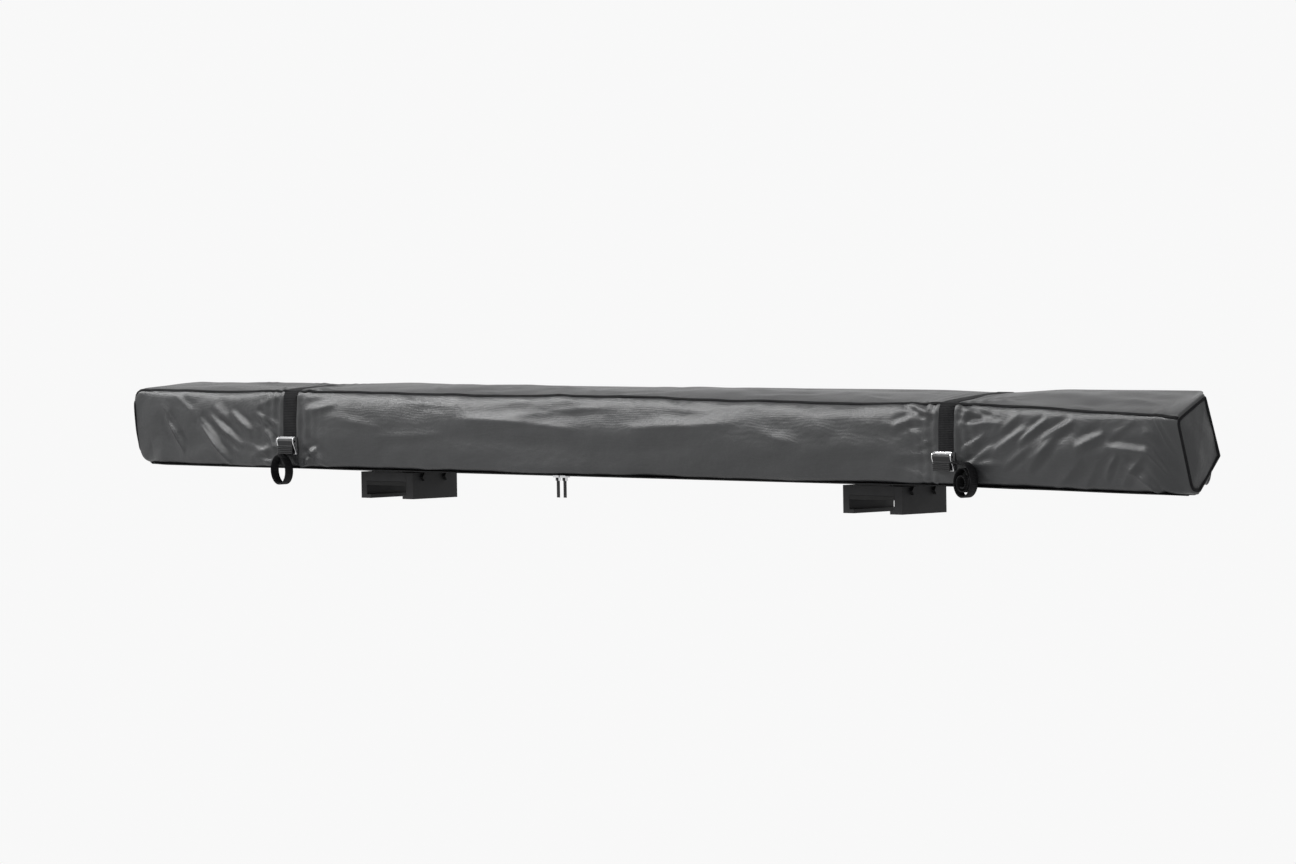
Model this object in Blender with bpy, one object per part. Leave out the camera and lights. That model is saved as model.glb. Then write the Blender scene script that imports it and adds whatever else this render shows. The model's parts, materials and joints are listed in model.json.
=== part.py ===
"""Roll-out side awning for a vehicle's roof bars, stowed in its zipped and strapped fabric cover.

Metres, +Z up. +X runs along the awning towards the vehicle's front, and -Y points away from the
vehicle, the way the canopy comes out. The origin is on the front saddle's rubber face, where the
front roof bar touches it. Places in this file are counted from the middle of the back rail's rear
face, and ORIGIN is the origin's place counted that way. "rear" and "front" in names are the two
ends along X.
"""

import math

import bmesh
import bpy
from mathutils import Matrix, Vector

# Fits
GAP = 0.0003
PIN_CLEARANCE = 0.0003
TUBE_CLEARANCE = 0.0004
SIDES = 16
SMALL_SIDES = 12
KNUCKLE_SIDES = 24
SHARP_ANGLE = 35

# Cover
BAG_LENGTH = 1.990
BAG_DEPTH = 0.110
BAG_HEIGHT = 0.110
FABRIC = 0.0016
ZIP_TAPE_WIDTH = 0.012
ZIP_X = -0.122
ZIP_SPACING = 0.013
SLIDER_SIZE = Vector((0.011, 0.0085, 0.0030))
PULL_LENGTH = 0.024
PULL_WIDTH = 0.0045
PULL_THICKNESS = 0.0016
PULL_PIN_RADIUS = 0.0008
PULL_PIN_OVERHANG = 0.0008
PULL_EYE_WALL = 0.0011
LUG_THICKNESS = 0.0012
LUG_REACH = 0.0018

# Back rail
RAIL_SHORT_OF_COVER = 0.060
RAIL_LENGTH = BAG_LENGTH - 2 * RAIL_SHORT_OF_COVER
RAIL_DEPTH = 0.013
KEDER_FLAP = 0.0008
KEDER_FLAP_LENGTH = 0.022
KEDER_RADIUS = 0.0026
KEDER_NECK = 0.0018
KEDER_FROM_BACK = 0.0065
KEDER_LIP = 0.0012
KEDER_CLEARANCE = 0.0005
KEDER_ARC_STEPS = 8
SLOT_Z = 0.020
SLOT_MOUTH = 0.009
SLOT_LIP = 0.0032
SLOT_WIDTH = 0.016
SLOT_ROOM = 0.0062
CAP_THICKNESS = 0.004
CAP_EDGE = 0.0008

# Crossbar clamps
CLAMP_X = {"rear": -0.490, "front": 0.440}
CROSSBAR_WIDTH = 0.080
CROSSBAR_SLOT = 0.0127
BRACKET_WIDTH = 0.060
BRACKET_PLATE = 0.005
BRACKET_REACH = 0.080
BRACKET_TOP = 0.036
CLAMP_BODY_HEIGHT = 0.0125
CLAMP_LENGTH = 0.080
CLAMP_BACK = -0.002
HOOK_THICKNESS = 0.011
LIP_THICKNESS = 0.005
LIP_REACH = 0.008
JAW_THICKNESS = 0.0135
PAD_THICKNESS = 0.0052
CLAMP_BOLT_RADIUS = 0.004
CLAMP_BOLT_DEPTH = 0.040
CLAMP_BOLT_SPACING = 0.040
RAIL_BOLT_RADIUS = 0.004
RAIL_BOLT_SPACING = 0.036
RAIL_BOLT_HEAD = 0.013
RAIL_BOLT_HEAD_THICKNESS = 0.005
NUT_RADIUS = 0.0075
NUT_THICKNESS = 0.0065
BOLT_END = 0.0015
BOLT_HEAD_RADIUS = 0.0060
BOLT_HEAD_THICKNESS = 0.0050
SCREW_RADIUS = 0.003
SCREW_LENGTH = 0.014
SCREW_SPACING = 0.036

# Straps
STRAP_X = {"rear": -0.655, "front": 0.602}
STRAP_WIDTH = 0.028
STRAP_THICKNESS = 0.0016
STRAP_JOIN_Z = -0.026
BUCKLE_WIDTH = 0.034
BUCKLE_PLATE = 0.0012
BUCKLE_EAR = 0.0086
BUCKLE_TOP = -0.014
BUCKLE_BOTTOM = -0.038
LEVER_PIVOT_DROP = 0.006
LEVER_HUB_RADIUS = 0.0032
LEVER_THICKNESS = 0.0025
LEVER_LENGTH = 0.018
LEVER_PIN_RADIUS = 0.0015
LEVER_CLEARANCE = 0.0005
LEVER_ARC_STEPS = 10
TAIL_WIDTH = 0.014
TAIL_THICKNESS = 0.003
TAIL_SQUARENESS = 2.3
TAIL_SIDES = 20
TAIL_SIZE = {"rear": (0.035, 0.041), "front": (0.040, 0.050)}
TAIL_OFFSET_X = {"rear": -0.010, "front": BUCKLE_WIDTH / 2 + TAIL_SIZE["front"][0] / 2 + GAP}
TAIL_TOP_Z = {"rear": BUCKLE_BOTTOM - GAP, "front": -0.024}

# Rafters
RAFTER_FROM_END = 0.040
RAFTER_PIVOT_X = RAIL_LENGTH / 2 - RAFTER_FROM_END
RAFTER_STOWED = 1.020
RAFTER_Z = {"rear": -0.0175, "front": -0.0395}
RAFTER_RADIUS = 0.0090
RAFTER_WALL = 0.0015
RAFTER_INNER_WALL = 0.0012
RAFTER_FROM_RAIL = 0.014
RAFTER_KNUCKLE_RADIUS = 0.0094
RAFTER_PIN_RADIUS = 0.003
TIP_LENGTH = 0.018
CUP_NOSE = 0.002
MOUNT_WIDTH = 0.028
MOUNT_PLATE = 0.003
MOUNT_EAR = 0.0028
MOUNT_OVERHANG = 0.010

# Lead beam and legs
BEAM_SHORT_OF_COVER = 0.027
BEAM_LENGTH = BAG_LENGTH - 2 * BEAM_SHORT_OF_COVER
BEAM_DEPTH = 0.048
BEAM_HEIGHT = 0.030
BEAM_WALL = 0.002
BEAM_BOTTOM = -0.004
BEAM_CAP = 0.004
BEAM_CAP_EDGE = 0.001
LEG_FROM_END = 0.018
LEG_PIVOT_X = BEAM_LENGTH / 2 - LEG_FROM_END
LEG_STOWED = 1.050
LEG_RADIUS = 0.0090
LEG_WALL = 0.0015
LEG_INNER_WALL = 0.0012
LEG_OFFSET = 0.011
LEG_HEADROOM = 0.003
LEG_TUBE_SHORT = 0.010
LEG_KNUCKLE_RADIUS = 0.0094
LEG_PIN_RADIUS = 0.003
PIN_HEAD_RADIUS = 0.005
PIN_HEAD_THICKNESS = 0.0015
COLLAR_RADIUS = 0.0102
COLLAR_LENGTH = 0.034
COLLAR_NECK = 0.008
FOOT_LENGTH = 0.032
FOOT_CUP = 0.022
KNUCKLE_HEIGHT = 0.0160
BORE_START = 0.022
INNER_START = 0.050

# Canopy roll
ROLL_SHORT_OF_BEAM = 0.033
ROLL_WIDTH_X = BEAM_LENGTH - 2 * ROLL_SHORT_OF_BEAM
ROLL_DEPTH = 0.066
ROLL_HEIGHT = 0.052
ROLL_SQUARENESS = 3.2
ROLL_SIDES = 32

# Places that follow from the sizes
TOP = BAG_HEIGHT / 2
BOTTOM = -TOP
FRONT = -BAG_DEPTH
KEDER_ROOM = KEDER_FLAP + 2 * GAP
RAIL_TOP = TOP - FABRIC - KEDER_ROOM
TAPE_LOW = BOTTOM - GAP - FABRIC
STRAP_LOW = TAPE_LOW - GAP - STRAP_THICKNESS
BRACKET_Z = BOTTOM - GAP
CLAMP_TOP = BRACKET_Z - BRACKET_PLATE - GAP
PAD_TOP = CLAMP_TOP - CLAMP_BODY_HEIGHT - GAP
SEAT_Z = PAD_TOP - PAD_THICKNESS
LIP_TOP = SEAT_Z - CROSSBAR_SLOT
CLAMP_MIDDLE_Y = CLAMP_BACK - CLAMP_LENGTH / 2
RAFTER_Y = -RAIL_DEPTH - RAFTER_FROM_RAIL
BEAM_Y = FRONT + FABRIC + GAP + ROLL_DEPTH / 2
BEAM_TOP = BEAM_BOTTOM + BEAM_HEIGHT
LEG_Z = BEAM_TOP - BEAM_WALL - GAP - COLLAR_RADIUS - LEG_HEADROOM
SLIDER_TOP = TAPE_LOW - GAP
SLIDER_Y = FRONT + ZIP_TAPE_WIDTH + GAP / 2
ORIGIN = (CLAMP_X["front"], CLAMP_MIDDLE_Y, SEAT_Z)
ENDS = {"rear": -1, "front": 1}


def clear_scene():
    for thing in list(bpy.data.objects):
        bpy.data.objects.remove(thing, do_unlink=True)


def make_material(name, colour, roughness, metallic=0.0):
    look = bpy.data.materials.new(name)
    look.use_nodes = True
    shader = look.node_tree.nodes["Principled BSDF"]
    shader.inputs["Base Color"].default_value = (*colour, 1.0)
    shader.inputs["Roughness"].default_value = roughness
    shader.inputs["Metallic"].default_value = metallic
    return look


def make_frame(name, point, parent=None):
    """An empty on a body's joint axis, which carries the body's pieces."""
    frame = bpy.data.objects.new(name, None)
    bpy.context.collection.objects.link(frame)
    frame.parent = parent
    origin = Vector(parent["place"]) if parent else Vector(ORIGIN)
    frame.location = Vector(point) - origin
    frame["place"] = list(point)
    return frame


def make_piece(name, shape, look, frame, smooth=False, bevel=0.0):
    """Turns a mesh built at its place, counted from the rail, into an object on the body's frame."""
    bmesh.ops.recalc_face_normals(shape, faces=shape.faces)
    bmesh.ops.translate(shape, verts=shape.verts, vec=-Vector(frame["place"]))
    mesh = bpy.data.meshes.new(name)
    shape.to_mesh(mesh)
    shape.free()
    mesh.materials.append(MATERIALS[look])
    if smooth:
        mesh.shade_smooth()
        mesh.set_sharp_from_angle(angle=math.radians(SHARP_ANGLE))
    thing = bpy.data.objects.new(name, mesh)
    bpy.context.collection.objects.link(thing)
    thing.parent = frame
    if bevel:
        edge = thing.modifiers.new("edge_break", "BEVEL")
        edge.width = bevel
        edge.segments = 1
        edge.limit_method = "ANGLE"
    return thing


def combine(thing, shape, operation):
    """Adds or cuts a shape, which stays in the scene as a hidden guide."""
    guide = make_piece("guide_" + thing.name + "_" + operation.lower(), shape, "guide", thing.parent)
    guide.hide_render = True
    guide.display_type = "WIRE"
    change = thing.modifiers.new(operation.lower(), "BOOLEAN")
    change.operation = operation
    change.solver = "EXACT"
    change.object = guide
    return thing


def add_prism(shape, section, across, low, high):
    """A section of two coordinates, drawn out along the third one, named by across."""
    axis = "XYZ".index(across)
    rims = []
    for level in (low, high):
        rim = []
        for a, b in section:
            point = [a, b]
            point.insert(axis, level)
            rim.append(shape.verts.new(point))
        rims.append(rim)
    shape.faces.new(rims[0])
    shape.faces.new(rims[1])
    count = len(section)
    for i in range(count):
        j = (i + 1) % count
        shape.faces.new((rims[0][i], rims[0][j], rims[1][j], rims[1][i]))


def prism(section, across, low, high):
    shape = bmesh.new()
    add_prism(shape, section, across, low, high)
    return shape


def add_box(shape, low, high):
    rectangle = [(low[1], low[2]), (high[1], low[2]), (high[1], high[2]), (low[1], high[2])]
    add_prism(shape, rectangle, "X", low[0], high[0])


def box(low, high):
    shape = bmesh.new()
    add_box(shape, low, high)
    return shape


def add_ring_prism(shape, outer, inner, across, low, high):
    """A tube of any outline: the two outlines have equally many points."""
    axis = "XYZ".index(across)
    loops = []
    for outline in (outer, inner):
        for level in (low, high):
            loop = []
            for a, b in outline:
                point = [a, b]
                point.insert(axis, level)
                loop.append(shape.verts.new(point))
            loops.append(loop)
    outer_low, outer_high, inner_low, inner_high = loops
    count = len(outer)
    for i in range(count):
        j = (i + 1) % count
        shape.faces.new((outer_low[i], outer_low[j], outer_high[j], outer_high[i]))
        shape.faces.new((inner_low[j], inner_low[i], inner_high[i], inner_high[j]))
        shape.faces.new((outer_low[j], outer_low[i], inner_low[i], inner_low[j]))
        shape.faces.new((outer_high[i], outer_high[j], inner_high[j], inner_high[i]))


def add_turned(shape, profile, start, direction, sides=SIDES, closed=False):
    """A profile of (distance, radius) turned about the line from start along direction."""
    turn = Vector(direction).to_track_quat("Z", "Y").to_matrix().to_4x4()
    place = Matrix.Translation(Vector(start)) @ turn
    rings = []
    for along, radius in profile:
        if radius == 0:
            rings.append([shape.verts.new(place @ Vector((0, 0, along)))])
            continue
        ring = []
        for k in range(sides):
            angle = 2 * math.pi * k / sides
            point = Vector((radius * math.cos(angle), radius * math.sin(angle), along))
            ring.append(shape.verts.new(place @ point))
        rings.append(ring)
    pairs = list(zip(rings, rings[1:]))
    if closed:
        pairs.append((rings[-1], rings[0]))
    for here, there in pairs:
        for k in range(sides):
            m = (k + 1) % sides
            corners = [here[k % len(here)], here[m % len(here)]]
            corners += [there[m % len(there)], there[k % len(there)]]
            shape.faces.new(list(dict.fromkeys(corners)))


def add_cylinder(shape, start, direction, length, radius, sides=SIDES):
    add_turned(shape, [(0, 0), (0, radius), (length, radius), (length, 0)], start, direction, sides)


def cylinder(start, direction, length, radius, sides=SIDES):
    shape = bmesh.new()
    add_cylinder(shape, start, direction, length, radius, sides)
    return shape


def band(path, thickness):
    """The outline of a strip of even thickness along a path of right-angled turns."""
    sides = ([], [])
    for i, point in enumerate(path):
        here = Vector(point)
        into = (here - Vector(path[i - 1])).normalized() if i else None
        out = (Vector(path[i + 1]) - here).normalized() if i + 1 < len(path) else None
        into = into or out
        out = out or into
        offset = Vector((-into.y, into.x)) + (Vector((-out.y, out.x)) if out != into else Vector((0, 0)))
        for side, sign in zip(sides, (1, -1)):
            side.append(here + sign * offset * thickness / 2)
    return [tuple(p) for p in sides[0] + sides[1][::-1]]


def rounded(centre, width, height, power, count):
    """A rounded rectangle as a superellipse."""
    points = []
    for k in range(count):
        angle = 2 * math.pi * k / count
        c = math.cos(angle)
        s = math.sin(angle)
        a = centre[0] + width / 2 * math.copysign(abs(c) ** (2 / power), c)
        b = centre[1] + height / 2 * math.copysign(abs(s) ** (2 / power), s)
        points.append((a, b))
    return points


def squared(centre, width, height, count):
    """A rectangle with as many points as a rounded one; count is a multiple of eight."""
    points = []
    for k in range(count):
        angle = 2 * math.pi * k / count
        c = math.cos(angle)
        s = math.sin(angle)
        reach = max(abs(c), abs(s))
        points.append((centre[0] + width / 2 * c / reach, centre[1] + height / 2 * s / reach))
    return points


def add_materials():
    return {
        "guide": make_material("guide", (1.0, 0.2, 0.2), 0.5),
        "cover_fabric": make_material("cover_fabric", (0.030, 0.030, 0.032), 0.45),
        "webbing": make_material("webbing", (0.012, 0.012, 0.013), 0.80),
        "zip_tape": make_material("zip_tape", (0.015, 0.015, 0.016), 0.75),
        "aluminium": make_material("aluminium", (0.60, 0.61, 0.62), 0.35, 1.0),
        "black_steel": make_material("black_steel", (0.020, 0.020, 0.021), 0.40, 0.6),
        "bright_steel": make_material("bright_steel", (0.70, 0.70, 0.70), 0.25, 1.0),
        "black_plastic": make_material("black_plastic", (0.018, 0.018, 0.019), 0.50),
        "rubber": make_material("rubber", (0.015, 0.015, 0.015), 0.85),
        "canopy_fabric": make_material("canopy_fabric", (0.26, 0.27, 0.29), 0.80),
    }


def keder_arc(centre_y, centre_z, radius, mouth, up):
    """The keder channel's round, from one side of its mouth to the other."""
    half = math.asin(mouth / 2 / radius)
    count = KEDER_ARC_STEPS
    points = []
    for k in range(count + 1):
        angle = half + (2 * math.pi - 2 * half) * k / count
        points.append((centre_y + radius * math.sin(angle), centre_z + up * radius * math.cos(angle)))
    return points


def keder_place(up):
    radius = KEDER_RADIUS + KEDER_CLEARANCE
    return -KEDER_FROM_BACK, up * (RAIL_TOP - KEDER_LIP - radius), radius


def rail_section():
    room = SLOT_LIP + SLOT_ROOM
    low = SLOT_Z - SLOT_WIDTH / 2
    high = SLOT_Z + SLOT_WIDTH / 2
    mouth_low = SLOT_Z - SLOT_MOUTH / 2
    mouth_high = SLOT_Z + SLOT_MOUTH / 2
    section = [(0, -RAIL_TOP), (0, mouth_low), (-SLOT_LIP, mouth_low), (-SLOT_LIP, low), (-room, low)]
    section += [(-room, high), (-SLOT_LIP, high), (-SLOT_LIP, mouth_high), (0, mouth_high), (0, RAIL_TOP)]
    mouth = KEDER_NECK + 2 * GAP
    y, z, radius = keder_place(1)
    section.append((y + mouth / 2, RAIL_TOP))
    section += keder_arc(y, z, radius, mouth, 1)
    section.append((y - mouth / 2, RAIL_TOP))
    section += [(-RAIL_DEPTH, RAIL_TOP), (-RAIL_DEPTH, -RAIL_TOP)]
    y, z, radius = keder_place(-1)
    section.append((y - mouth / 2, -RAIL_TOP))
    section += keder_arc(y, z, radius, mouth, -1)[::-1]
    section.append((y + mouth / 2, -RAIL_TOP))
    return section


def keder_welt(up):
    """A welt in the rail's channel with the flap that is sewn to the cover."""
    y, z, _ = keder_place(up)
    neck = KEDER_NECK / 2
    low = RAIL_TOP + GAP
    high = low + KEDER_FLAP
    edge = y - KEDER_FLAP_LENGTH
    section = keder_arc(y, z, KEDER_RADIUS, KEDER_NECK, up)
    section += [(y - neck, up * low), (edge, up * low), (edge, up * high), (y + neck, up * high)]
    return prism(section, "X", -RAIL_LENGTH / 2, RAIL_LENGTH / 2)


def build_rail(base):
    half = RAIL_LENGTH / 2
    make_piece("base_rail", prism(rail_section(), "X", -half, half), "aluminium", base)
    for end, sign in ENDS.items():
        inside = sign * (half + GAP)
        outside = sign * (half + GAP + CAP_THICKNESS)
        low = (min(inside, outside), -RAIL_DEPTH, -RAIL_TOP)
        high = (max(inside, outside), 0, RAIL_TOP)
        make_piece("rail_cap_" + end, box(low, high), "black_plastic", base, bevel=CAP_EDGE)
    make_piece("keder_welt_upper", keder_welt(1), "webbing", base)
    make_piece("keder_welt_lower", keder_welt(-1), "webbing", base)


def build_tray(base):
    """The part of the cover that stays on the rail: its floor and both end panels."""
    half = BAG_LENGTH / 2
    inner = half - FABRIC
    floor = BOTTOM + FABRIC
    rim = TOP - FABRIC - GAP
    section = [(-half, BOTTOM), (half, BOTTOM), (half, rim), (inner, rim), (inner, floor)]
    section += [(-inner, floor), (-inner, rim), (-half, rim)]
    edge = FRONT + FABRIC + GAP
    make_piece("bag_tray", prism(section, "Y", edge, 0), "cover_fabric", base)
    back = SLIDER_Y + GAP / 2 + ZIP_TAPE_WIDTH
    tape = box((-inner, SLIDER_Y + GAP / 2, TAPE_LOW), (inner, back, BOTTOM - GAP))
    make_piece("zip_tape_lower", tape, "zip_tape", base)


def build_bracket(base, end):
    x = CLAMP_X[end]
    half = BRACKET_WIDTH / 2
    low = BRACKET_Z - BRACKET_PLATE
    section = [(-BRACKET_REACH, low), (GAP + BRACKET_PLATE, low), (GAP + BRACKET_PLATE, BRACKET_TOP)]
    section += [(GAP, BRACKET_TOP), (GAP, BRACKET_Z), (-BRACKET_REACH, BRACKET_Z)]
    bracket = make_piece("bracket_" + end, prism(section, "X", x - half, x + half), "black_steel", base)
    bolts = bmesh.new()
    nuts = bmesh.new()
    screws = bmesh.new()
    nut_face = GAP + BRACKET_PLATE
    for side in (-1, 1):
        place = x + side * RAIL_BOLT_SPACING / 2
        add_t_bolt(bolts, (place, -SLOT_LIP - GAP, SLOT_Z), nut_face + NUT_THICKNESS + BOLT_END)
        start = (place, nut_face - BRACKET_PLATE / 2, SLOT_Z)
        add_cylinder(nuts, start, (0, 1, 0), BRACKET_PLATE / 2 + NUT_THICKNESS, NUT_RADIUS, sides=6)
        start = (x + side * SCREW_SPACING / 2, CLAMP_MIDDLE_Y, BRACKET_Z - BRACKET_PLATE / 2)
        add_cylinder(screws, start, (0, 0, -1), SCREW_LENGTH - BRACKET_PLATE / 2, SCREW_RADIUS, SMALL_SIDES)
    combine(bracket, bolts, "UNION")
    combine(bracket, nuts, "UNION")
    combine(bracket, screws, "UNION")


def build_clamp(base, end):
    x = CLAMP_X[end]
    bar = CROSSBAR_WIDTH / 2
    face = bar + GAP
    back = CLAMP_BACK
    near = CLAMP_BACK - CLAMP_LENGTH
    low = LIP_TOP - LIP_THICKNESS
    underside = CLAMP_TOP - CLAMP_BODY_HEIGHT
    section = [(x - face - HOOK_THICKNESS, CLAMP_TOP), (x - face - HOOK_THICKNESS, low)]
    section += [(x - face + LIP_REACH, low), (x - face + LIP_REACH, LIP_TOP), (x - face, LIP_TOP)]
    section += [(x - face, underside), (x + face, underside), (x + face, CLAMP_TOP)]
    body = make_piece("clamp_body_" + end, prism(section, "Y", near, back), "black_plastic", base)
    holes = bmesh.new()
    bolt_z = CLAMP_TOP - CLAMP_BODY_HEIGHT / 2
    for side in (-1, 1):
        y = CLAMP_MIDDLE_Y + side * CLAMP_BOLT_SPACING / 2
        start = (x + face + GAP, y, bolt_z)
        hole = CLAMP_BOLT_RADIUS + PIN_CLEARANCE
        add_cylinder(holes, start, (-1, 0, 0), CLAMP_BOLT_DEPTH + 4 * GAP, hole)
        start = (x + side * SCREW_SPACING / 2, CLAMP_MIDDLE_Y, CLAMP_TOP + GAP)
        depth = SCREW_LENGTH - BRACKET_PLATE + 4 * GAP
        add_cylinder(holes, start, (0, 0, -1), depth, SCREW_RADIUS + PIN_CLEARANCE)
    combine(body, holes, "DIFFERENCE")
    pad = box((x - bar, near, SEAT_Z), (x + bar, back, PAD_TOP))
    make_piece("saddle_pad_" + end, pad, "rubber", base)


def build_jaw(end):
    """The sliding half of a clamp, with the two bolts that draw it in."""
    x = CLAMP_X[end]
    inner = CROSSBAR_WIDTH / 2 + 2 * GAP
    outer = inner + JAW_THICKNESS
    low = LIP_TOP - LIP_THICKNESS
    back = CLAMP_BACK
    near = CLAMP_BACK - CLAMP_LENGTH
    jaw_frame = make_frame("frame_jaw_" + end, (x + inner, CLAMP_MIDDLE_Y, SEAT_Z))
    section = [(x + inner, CLAMP_TOP - GAP), (x + inner, LIP_TOP), (x + inner - LIP_REACH, LIP_TOP)]
    section += [(x + inner - LIP_REACH, low), (x + outer, low), (x + outer, CLAMP_TOP - GAP)]
    jaw = make_piece("clamp_jaw_" + end, prism(section, "Y", near, back), "black_plastic", jaw_frame)
    shanks = bmesh.new()
    heads = bmesh.new()
    bolt_z = CLAMP_TOP - CLAMP_BODY_HEIGHT / 2
    tip = CROSSBAR_WIDTH / 2 - CLAMP_BOLT_DEPTH
    inside = outer - JAW_THICKNESS / 2
    for side in (-1, 1):
        y = CLAMP_MIDDLE_Y + side * CLAMP_BOLT_SPACING / 2
        add_cylinder(shanks, (x + tip, y, bolt_z), (1, 0, 0), inside - tip, CLAMP_BOLT_RADIUS)
        length = outer - inside + BOLT_HEAD_THICKNESS
        add_cylinder(heads, (x + inside, y, bolt_z), (1, 0, 0), length, BOLT_HEAD_RADIUS, sides=6)
    combine(jaw, shanks, "UNION")
    combine(jaw, heads, "UNION")


def add_t_bolt(shape, start, end_y):
    """A square head in the slot and a round shank, as one closed skin."""
    half = RAIL_BOLT_HEAD / 2
    corners = [(-half, -half), (half, -half), (half, half), (-half, half)]
    front = []
    back = []
    for a, b in corners:
        front.append(shape.verts.new((start[0] + a, start[1] - RAIL_BOLT_HEAD_THICKNESS, start[2] + b)))
        back.append(shape.verts.new((start[0] + a, start[1], start[2] + b)))
    shape.faces.new(front)
    for i in range(4):
        j = (i + 1) % 4
        shape.faces.new((front[i], front[j], back[j], back[i]))
    count = SMALL_SIDES
    rings = []
    for level in (start[1], end_y):
        ring = []
        for k in range(count):
            angle = 2 * math.pi * k / count - 3 * math.pi / 4
            a = start[0] + RAIL_BOLT_RADIUS * math.cos(angle)
            b = start[2] + RAIL_BOLT_RADIUS * math.sin(angle)
            ring.append(shape.verts.new((a, level, b)))
        rings.append(ring)
    shape.faces.new(rings[1])
    for k in range(count):
        m = (k + 1) % count
        shape.faces.new((rings[0][k], rings[0][m], rings[1][m], rings[1][k]))
    per_side = count // 4
    for i in range(4):
        j = (i + 1) % 4
        arc = [rings[0][(i * per_side + k) % count] for k in range(per_side + 1)]
        shape.faces.new([back[i], back[j]] + arc[::-1])


def build_rafter_mount(base, end):
    sign = ENDS[end]
    x = sign * RAFTER_PIVOT_X
    z = RAFTER_Z[end]
    back = -RAIL_DEPTH - GAP
    inside = back - MOUNT_PLATE
    reach = RAFTER_Y - MOUNT_OVERHANG
    room = RAFTER_RADIUS + GAP
    section = [(back, z - room - MOUNT_EAR), (back, z + room + MOUNT_EAR), (reach, z + room + MOUNT_EAR)]
    section += [(reach, z + room), (inside, z + room), (inside, z - room), (reach, z - room)]
    section.append((reach, z - room - MOUNT_EAR))
    half = MOUNT_WIDTH / 2
    mount = make_piece("rafter_mount_" + end, prism(section, "X", x - half, x + half), "black_plastic", base)
    length = 2 * (room + MOUNT_EAR + GAP)
    start = (x, RAFTER_Y, z - length / 2)
    combine(mount, cylinder(start, (0, 0, 1), length, RAFTER_PIN_RADIUS + PIN_CLEARANCE), "DIFFERENCE")
    half = RAFTER_RADIUS + MOUNT_EAR
    pin = cylinder((x, RAFTER_Y, z - half), (0, 0, 1), 2 * half, RAFTER_PIN_RADIUS)
    make_piece("rafter_pin_" + end, pin, "bright_steel", base, smooth=True)


def build_tube_arm(name, pivot, inward, pin_axis, sizes, frame):
    """The outer tube of a leg or rafter, with the round knuckle that turns on its pin."""
    pivot = Vector(pivot)
    inward = Vector(inward)
    pin_axis = Vector(pin_axis)
    shape = cylinder(pivot, inward, sizes["length"], sizes["radius"])
    tube = make_piece(name, shape, "aluminium", frame, smooth=True)
    start = pivot - pin_axis * KNUCKLE_HEIGHT / 2
    knuckle = cylinder(start, pin_axis, KNUCKLE_HEIGHT, sizes["knuckle"], KNUCKLE_SIDES)
    combine(tube, knuckle, "UNION")
    cuts = bmesh.new()
    add_cylinder(cuts, pivot + inward * BORE_START, inward, sizes["length"], sizes["radius"] - sizes["wall"])
    start = pivot - pin_axis * KNUCKLE_HEIGHT
    add_cylinder(cuts, start, pin_axis, 2 * KNUCKLE_HEIGHT, sizes["pin"] + PIN_CLEARANCE)
    combine(tube, cuts, "DIFFERENCE")
    return tube


def add_tube(shape, start, direction, length, radius, wall):
    profile = [(0, radius), (length, radius), (length, radius - wall), (0, radius - wall)]
    add_turned(shape, profile, start, direction, closed=True)


def tube_piece(name, start, direction, length, radius, wall, frame):
    shape = bmesh.new()
    add_tube(shape, start, direction, length, radius, wall)
    return make_piece(name, shape, "aluminium", frame, smooth=True)


def add_cup(shape, start, direction, length, depth, radius, bore, nose):
    """A cap that fits over a tube's end, with a rounded nose."""
    profile = [(depth, 0), (depth, bore), (0, bore), (0, radius), (length - nose, radius)]
    profile += [(length, radius - nose), (length, 0)]
    add_turned(shape, profile, start, direction)


def build_rafter(end):
    sign = ENDS[end]
    pivot = Vector((sign * RAFTER_PIVOT_X, RAFTER_Y, RAFTER_Z[end]))
    inward = Vector((-sign, 0, 0))
    swing = make_frame("frame_rafter_" + end, pivot)
    slide = make_frame("frame_rafter_inner_" + end, pivot, swing)
    outer_length = RAFTER_STOWED - TIP_LENGTH - GAP
    sizes = {"length": outer_length, "radius": RAFTER_RADIUS, "wall": RAFTER_WALL}
    sizes["knuckle"] = RAFTER_KNUCKLE_RADIUS
    sizes["pin"] = RAFTER_PIN_RADIUS
    build_tube_arm("rafter_tube_" + end, pivot, inward, (0, 0, 1), sizes, swing)
    radius = RAFTER_RADIUS - RAFTER_WALL - TUBE_CLEARANCE
    cup_depth = TIP_LENGTH / 2
    inner_end = RAFTER_STOWED - TIP_LENGTH + cup_depth - GAP
    start = pivot + inward * INNER_START
    name = "rafter_inner_" + end
    tube_piece(name, start, inward, inner_end - INNER_START, radius, RAFTER_INNER_WALL, slide)
    tip = bmesh.new()
    start = pivot + inward * (RAFTER_STOWED - TIP_LENGTH)
    add_cup(tip, start, inward, TIP_LENGTH, cup_depth, RAFTER_RADIUS, radius + GAP, CUP_NOSE)
    make_piece("rafter_tip_" + end, tip, "black_plastic", slide, smooth=True)


def beam_section():
    half = BEAM_DEPTH / 2
    inner = half - BEAM_WALL
    ceiling = BEAM_TOP - BEAM_WALL
    section = [(BEAM_Y - half, BEAM_BOTTOM), (BEAM_Y - half, BEAM_TOP), (BEAM_Y + half, BEAM_TOP)]
    section += [(BEAM_Y + half, BEAM_BOTTOM), (BEAM_Y + inner, BEAM_BOTTOM), (BEAM_Y + inner, ceiling)]
    section += [(BEAM_Y - inner, ceiling), (BEAM_Y - inner, BEAM_BOTTOM)]
    return section


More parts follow.
